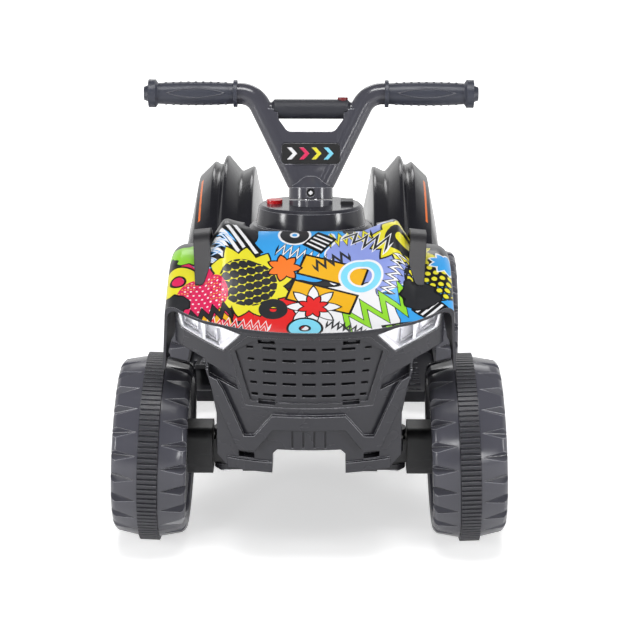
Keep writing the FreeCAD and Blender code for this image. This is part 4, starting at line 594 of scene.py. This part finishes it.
def fascia_frame(across, height, behind):
    """Frame on the bowed fascia in mm: X along the face, Z up, -Y straight out of it."""
    reach = fascia_reach - fascia_lean_share * (fascia_top - height) - behind
    turn = math.asin(across / reach)
    place = Vector((across, nose_middle - reach * math.cos(turn), height)) * MM
    return Matrix.Translation(place) @ Matrix.Rotation(turn, 4, "Z") @ Matrix.Scale(MM, 4)


def raised_plate(outline, depth, soft, place):
    """A plate from an outline in X and Z, pushed out along -Y, its front edge softened, then placed."""
    shape = bmesh.new()
    back = shape.faces.new([shape.verts.new((x, 0, z)) for x, z in outline])
    pushed = bmesh.ops.extrude_face_region(shape, geom=[back], use_keep_orig=True)["geom"]
    front = [item for item in pushed if isinstance(item, bmesh.types.BMVert)]
    bmesh.ops.translate(shape, verts=front, vec=(0, -depth, 0))
    rim = [item for item in pushed if isinstance(item, bmesh.types.BMEdge)]
    bmesh.ops.recalc_face_normals(shape, faces=shape.faces)
    bmesh.ops.bevel(shape, geom=rim, offset=soft, offset_type="OFFSET", segments=soft_steps, profile=0.5,
                    material=-1, affect="EDGES")
    bmesh.ops.transform(shape, matrix=place, verts=shape.verts)
    return shape


def add_piece(name, shape, material, body):
    """Makes a finished shape an object that moves with a body."""
    data = bpy.data.meshes.new(name)
    shape.to_mesh(data)
    shape.free()
    data.materials.append(material)
    piece = bpy.data.objects.new(name, data)
    bpy.context.scene.collection.objects.link(piece)
    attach(piece, body)


grille_plastic = plastic("grille_plastic", grille_black, shine=0.40, grain=0.2, rub=0.1, edge=0.0006)
dress(grille_plastic, "grille")
tongue = [(-clip_foot, 0), (clip_foot, 0), (clip_tip, clip_rise), (-clip_tip, clip_rise)]
for side_name, side in sides:
    for level, height in zip(("upper", "lower"), clip_heights):
        place = fascia_frame(side * clip_across, height, clip_behind)
        clip = raised_plate(tongue, clip_depth, clip_soft, place)
        add_piece(f"{level}_clip_{side_name}", clip, body_plastic, "chassis")


# Headlights
# A clear cover over a silver-painted bowl with two U-shaped lamp frames, glued together and set into the
# fascia. The cover has fine moulded ripples that blur what lies behind it, and the bowl is fluted.

lens_tint = (1.0, 1.0, 1.0, 1)
lens_bend = 1.18
lens_ripple_scale = 60.0
lens_ripple_detail = 2.0
lens_ripple_bump = 0.05
lens_haze = (0.03, 0.10)
silver_tone = (0.78, 0.78, 0.81, 1)
silver_shade = (0.72, 0.72, 0.76, 1)
silver_dullness = (0.55, 0.70)
tarnish_scale = 90.0
tarnish_detail = 3.0
flute_scale = 160.0
flute_bump = 0.12
lamp_bump_depth = 0.001
# The lamp's middle on the fascia in mm, how far behind it the bowl's floor lies, and the lamp's rise
lamp_middle = (105.0, 256.0)
lamp_floor = 11.3
lamp_slope = 0.307
lamp_frame_color = (0.56, 0.56, 0.60)
# Each lamp frame: start and end along the lamp from its middle, height of its foot at the start
lamp_frames = [(-17.0, 1.0, -9.5), (6.5, 25.0, -2.3)]
lamp_frame_height = 13.0
lamp_frame_width = 1.5
lamp_frame_depth = 2.4
lamp_frame_soft = 0.3

lens_material, tree = blank_material("clear_cover")
lens_place = shader_node(tree, "ShaderNodeTexCoord").outputs["Object"]
swirl = noise(tree, lens_place, lens_ripple_scale, lens_ripple_detail)
lens_shader = shader_node(tree, "ShaderNodeBsdfPrincipled", Base_Color=lens_tint, IOR=lens_bend,
                          Roughness=ranged(tree, swirl, *lens_haze), Transmission_Weight=1.0,
                          Normal=bumped(tree, swirl, lens_ripple_bump, lamp_bump_depth))
lens_through = shader_node(tree, "ShaderNodeBsdfTransparent", Color=lens_tint)
in_shadow = shader_node(tree, "ShaderNodeLightPath").outputs["Is Shadow Ray"]
lens_mix = shader_node(tree, "ShaderNodeMixShader", Fac=in_shadow, i1=lens_shader.outputs[0],
                       i2=lens_through.outputs[0])
shader_node(tree, "ShaderNodeOutputMaterial", Surface=lens_mix.outputs[0])
dress(lens_material, "headlight_lens_left", "headlight_lens_right")

silver_material, tree = blank_material("lamp_silver")
silver_place = shader_node(tree, "ShaderNodeTexCoord").outputs["Object"]
flutes = shader_node(tree, "ShaderNodeTexWave", Vector=silver_place, Scale=flute_scale)
flutes.bands_direction = "DIAGONAL"
fluted = bumped(tree, flutes.outputs["Fac"], flute_bump, lamp_bump_depth)
tarnish = noise(tree, silver_place, tarnish_scale, tarnish_detail)
silver_shader = shader_node(tree, "ShaderNodeBsdfPrincipled", Normal=fluted,
                            Base_Color=mixed(tree, tarnish, silver_tone, silver_shade),
                            Roughness=ranged(tree, tarnish, *silver_dullness))
shader_node(tree, "ShaderNodeOutputMaterial", Surface=silver_shader.outputs[0])
dress(silver_material, "headlight_reflector_left", "headlight_reflector_right")

lamp_frame_silver = plastic("lamp_frame_silver", lamp_frame_color, shine=0.3, grain=0.0, rub=0.1)
for side_name, side in sides:
    place = fascia_frame(side * lamp_middle[0], lamp_middle[1], lamp_floor)
    for index, (start, end, foot) in enumerate(lamp_frames):
        lift = foot + lamp_slope * (end - start)
        inner_start, inner_end = start + lamp_frame_width, end - lamp_frame_width
        outer = [(start, foot + lamp_frame_height), (start, foot), (end, lift),
                 (end, lift + lamp_frame_height)]
        inner = [(inner_end, lift + lamp_frame_height), (inner_end, lift + lamp_frame_width),
                 (inner_start, foot + lamp_frame_width), (inner_start, foot + lamp_frame_height)]
        outline = [(side * x, z) for x, z in outer + inner]
        lamp_frame = raised_plate(outline, lamp_frame_depth, lamp_frame_soft, place)
        add_piece(f"lamp_frame_{index}_{side_name}", lamp_frame, lamp_frame_silver, "chassis")


# Rack straps
# Black loops moulded in tough plastic, which stand over the hood and are riveted to it at both ends.

strap_black = (0.012, 0.011, 0.014)
strap_plastic = plastic("strap_plastic", strap_black, shine=0.46, grain=0.0, rub=0.15, edge=0.0012)
dress(strap_plastic, "rack_strap_left", "rack_strap_right")


# Rear mudguards and tail lights
# Black gloss mouldings with an orange pinstripe pressed along the fin, and a red lens in the rear wall.

guard_black = (0.012, 0.012, 0.016)
tail_light_red = (0.52, 0.008, 0.012)
stripe_orange = (0.80, 0.16, 0.02, 1)
# The stripe, in mm: distance from the bike's middle plane, half width, and where it starts and ends
stripe_across = 140.0
stripe_half = 1.3
stripe_start = 150.0
stripe_end = 232.0
guard_plastic, tree, skin, _ = moulding("guard_plastic", guard_black, shine=0.18, grain=0.0, rub=0.12)
guard_place = shader_node(tree, "ShaderNodeTexCoord").outputs["Object"]
guard_parts = shader_node(tree, "ShaderNodeSeparateXYZ", Vector=guard_place).outputs
across = sums(tree, "ABSOLUTE", guard_parts["X"])
on_line = sums(tree, "COMPARE", across, stripe_across * MM, stripe_half * MM)
in_run = sums(tree, "COMPARE", guard_parts["Y"], (stripe_start + stripe_end) / 2 * MM,
              (stripe_end - stripe_start) / 2 * MM)
striped = mixed(tree, sums(tree, "MULTIPLY", on_line, in_run), (*guard_black, 1), stripe_orange)
tree.links.new(striped, skin.inputs["Color"])
dress(guard_plastic, "rear_fender_left", "rear_fender_right")
tail_red = plastic("tail_red", tail_light_red, shine=0.16, grain=0.0, rub=0.1, gloss_coat=0.6)
dress(tail_red, "tail_light_left", "tail_light_right")


# Seat
# A grained black pad of firm moulded plastic, pressed onto the body shell.

seat_black = (0.028, 0.028, 0.030)
seat_plastic = plastic("seat_plastic", seat_black, shine=0.55, grain=0.8, rub=0.5)
dress(seat_plastic, "seat")


# Handlebar
# One hollow moulding on the steel column, held by a cross bolt through its collar. Soft grips with an
# almond-shaped ridge and rows of nubs are pushed on its ends, and a printed badge is let into its web.

bar_black = (0.060, 0.060, 0.074)
pad_black = (0.020, 0.021, 0.029)
grip_black = (0.038, 0.041, 0.058)
badge_black = (0.010, 0.010, 0.011)
steering = next(joint for joint in frame["joints"] if joint["name"] == "steering_turn")
column_rake = math.atan2(steering["axis"][1], steering["axis"][2])
column_frame = (Matrix.Translation(steering["pos_m"]) @ Matrix.Rotation(-column_rake, 4, "X")
                @ Matrix.Scale(MM, 4))
# The left grip in the column's frame, in mm: its middle line, length, radius and swell
grip_height = 112.7
grip_middle = 123.5
grip_half = 40.5
grip_radius = 11.2
grip_swell = 1.3
# The almond-shaped ridge and the nubs on it, in mm and degrees
ridge_half = 31.0
ridge_angle = math.radians(22)
ridge_thickness = 0.9
ridge_rounding = 1
ridge_points = 20
nub_count = 9
nub_pitch = 8.0
nub_size = (1.5, 0.55, 0.8)
nub_angles = (68, 90, 112, -68, -90, -112)
nub_segments = 8
nub_rings = 6
# The badge's face in the column's frame, its chevrons, and each chevron's ink and place across it, in mm
badge_height = 48.5
badge_front = -11.5
badge_shine = 0.48
chevron_depth = 0.7
chevron_soft = 0.2
chevron_half = 5.5
chevron_arm = 5.0
chevron_rise = 6.5
badge_inks = [("white", -20.0, film_white), ("crimson", -7.0, film_crimson),
              ("yellow", 6.0, film_yellow), ("aqua", 19.0, film_aqua)]

bar_plastic = plastic("bar_plastic", bar_black, shine=0.16, grain=0.0, rub=0.15, edge=0.0015)
dress(bar_plastic, "handlebar", "column_bush")
pad_foam = plastic("pad_foam", pad_black, shine=0.50, grain=0.6, rub=0.2)
dress(pad_foam, "crossbar_pad")
grip_rubber = plastic("grip_rubber", grip_black, shine=0.40, grain=0.3, rub=0.2)
dress(grip_rubber, "grip_left", "grip_right")
badge_film = plastic("badge_film", badge_black, shine=badge_shine, grain=0.0, rub=0.1)
dress(badge_film, "badge_plate")


def on_grip(across, angle):
    """Point on the left grip's skin, in the column's frame."""
    share = (across - grip_middle) / grip_half
    reach = grip_radius + grip_swell * (1 - share * share)
    return Vector((across, -reach * math.cos(angle), grip_height + reach * math.sin(angle)))


def grip_ridge(turn):
    """A thin raised line round an almond shape, as a mesh."""
    shares = [index / ridge_points * 2 - 1 for index in range(ridge_points)] + [1.0]
    line = bpy.data.curves.new("ridge", "CURVE")
    line.dimensions = "3D"
    line.bevel_depth = ridge_thickness
    line.bevel_resolution = ridge_rounding
    for way in (1, -1):
        spline = line.splines.new("POLY")
        spline.points.add(ridge_points)
        for point, share in zip(spline.points, shares):
            angle = turn + way * ridge_angle * (1 - share * share)
            point.co = (*on_grip(grip_middle + ridge_half * share, angle), 1)
    holder = bpy.data.objects.new("ridge", line)
    ridge = bpy.data.meshes.new_from_object(holder)
    bpy.data.objects.remove(holder)
    return ridge


for side_name, side in sides:
    relief = bmesh.new()
    for turn in (0, math.pi):
        relief.from_mesh(grip_ridge(turn))
    for angle in nub_angles:
        for index in range(nub_count):
            across = grip_middle + nub_pitch * (index - (nub_count - 1) / 2)
            turn = Matrix.Rotation(-math.radians(angle), 4, "X")
            place = Matrix.Translation(on_grip(across, math.radians(angle))) @ turn
            bmesh.ops.create_uvsphere(relief, u_segments=nub_segments, v_segments=nub_rings, radius=1,
                                      matrix=place @ Matrix.Diagonal((*nub_size, 1)))
    mirror = Matrix.Diagonal((side, 1, 1, 1))
    bmesh.ops.transform(relief, matrix=column_frame @ mirror, verts=relief.verts)
    bmesh.ops.recalc_face_normals(relief, faces=relief.faces)
    add_piece(f"grip_relief_{side_name}", relief, grip_rubber, "steering")

chevron = [(-chevron_half, chevron_rise), (chevron_arm - chevron_half, chevron_rise), (chevron_half, 0),
           (chevron_arm - chevron_half, -chevron_rise), (-chevron_half, -chevron_rise),
           (chevron_half - chevron_arm, 0)]
for ink_name, across, ink in badge_inks:
    ink_plastic = plastic(f"badge_{ink_name}", ink[:3], shine=badge_shine, grain=0.0, rub=0.1)
    place = column_frame @ Matrix.Translation((across, badge_front, badge_height))
    chevron_shape = raised_plate(chevron, chevron_depth, chevron_soft, place)
    add_piece(f"badge_chevron_{ink_name}", chevron_shape, ink_plastic, "steering")


# Steel parts
# Column, kingpins, spindles, axle and nuts are cut from zinc-plated bar, and the motor's can is plated
# too. The stem bolt and the screws are blackened steel, and a bright key shows in the bolt's head.

zinc_pale = (0.62, 0.62, 0.64, 1)
zinc_dark = (0.42, 0.42, 0.44, 1)
zinc_dullness = (0.22, 0.42)
spangle_scale = 700.0
spangle_share = 0.5
drawn_scale = 220.0
drawn_detail = 4.0
screw_black = (0.012, 0.012, 0.013)
# The screws of the bumper feet, on the fascia's bow, in mm
foot_screw_across = 80.0
foot_screw_height = 128.0
foot_screw_sunk = 0.9
foot_screw_radius = 2.0
foot_screw_depth = 0.7
foot_screw_soft = 0.2
foot_screw_corners = 12
# The key in the stem bolt's head, in the column's frame, in mm
key_bright = (0.75, 0.75, 0.77)
key_height = 6.6
key_front = -21.9
key_half = 2.7
key_depth = 0.5
key_soft = 0.15

steel_material, tree = blank_material("zinc_steel")
steel_place = shader_node(tree, "ShaderNodeTexCoord").outputs["Object"]
spangle = shader_node(tree, "ShaderNodeTexVoronoi", Vector=steel_place, Scale=spangle_scale)
drawn = noise(tree, steel_place, drawn_scale, drawn_detail)
spangled = sums(tree, "MULTIPLY", spangle.outputs["Distance"], spangle_share)
steel_shader = shader_node(tree, "ShaderNodeBsdfPrincipled", Metallic=1.0,
                           Base_Color=mixed(tree, spangled, zinc_pale, zinc_dark),
                           Roughness=ranged(tree, drawn, *zinc_dullness))
shader_node(tree, "ShaderNodeOutputMaterial", Surface=steel_shader.outputs[0])
dress(steel_material, "steering_column", "kingpins", "spindle_left", "spindle_right", "spindle_nut_left",
      "spindle_nut_right", "rear_axle", "rear_axle_nuts", "motor")
black_steel = plastic("black_steel", screw_black, shine=0.35, grain=0.1, rub=0.2, edge=0.0003)
dress(black_steel, "stem_bolt", "body_screws")
screw_turns = [2 * math.pi * index / foot_screw_corners for index in range(foot_screw_corners)]
screw_outline = [(foot_screw_radius * math.cos(turn), foot_screw_radius * math.sin(turn))
                 for turn in screw_turns]
for side_name, side in sides:
    place = fascia_frame(side * foot_screw_across, foot_screw_height, foot_screw_sunk)
    screw = raised_plate(screw_outline, foot_screw_depth, foot_screw_soft, place)
    add_piece(f"foot_screw_{side_name}", screw, black_steel, "chassis")
key_outline = [(-key_half, 0), (0, -key_half), (key_half, 0), (0, key_half)]
key_place = column_frame @ Matrix.Translation((0, key_front, key_height))
key_nickel = plastic("key_nickel", key_bright, shine=0.3, grain=0.0, rub=0.1)
add_piece("bolt_key", raised_plate(key_outline, key_depth, key_soft, key_place), key_nickel, "steering")


# Switches, pedal, linkage and drive
# Small plain mouldings in hard plastic that are touched or hidden: buttons, rocker, pedal, knuckles, tie
# rod, drive and battery. They are snapped or screwed into the body.

button_bright = (0.56, 0.008, 0.012)
switch_black = (0.020, 0.020, 0.021)
horn_dark = (0.16, 0.010, 0.014)
linkage_black = (0.024, 0.024, 0.026)
button_red = plastic("button_red", button_bright, shine=0.24, grain=0.02, rub=0.2, edge=0.0005)
dress(button_red, "start_button")
switch_plastic = plastic("switch_plastic", switch_black, shine=0.42, grain=0.2, rub=0.3)
dress(switch_plastic, "direction_rocker", "pedal_switch", "charge_socket")
horn_red = plastic("horn_red", horn_dark, shine=0.45, grain=0.05, rub=0.2)
dress(horn_red, "horn_button")
linkage_plastic = plastic("linkage_plastic", linkage_black, shine=0.45, grain=0.35, rub=0.7)
dress(linkage_plastic, "throttle_pedal", "knuckle_left", "knuckle_right", "tie_rod", "drive_hub",
      "gearbox", "battery", "battery_strap")


# Wheels
# Hollow blow-moulded wheels with deep side lugs, a pressed-on ribbed rubber band and a snap-in cap.

wheel_black = (0.072, 0.072, 0.088)
band_black = (0.030, 0.030, 0.037)
cap_black = (0.018, 0.018, 0.020)
wheel_plastic = plastic("wheel_plastic", wheel_black, shine=0.17, grain=0.0, rub=0.2, edge=0.0015)
band_rubber = plastic("band_rubber", band_black, shine=0.42, grain=0.3, rub=0.3, edge=0.0005)
cap_plastic = plastic("cap_plastic", cap_black, shine=0.22, grain=0.02, rub=0.3)
for end in ("front", "rear"):
    for side_name, _ in sides:
        dress(wheel_plastic, f"{end}_wheel_{side_name}")
        dress(band_rubber, f"{end}_traction_band_{side_name}")
        dress(cap_plastic, f"{end}_hub_cap_{side_name}")
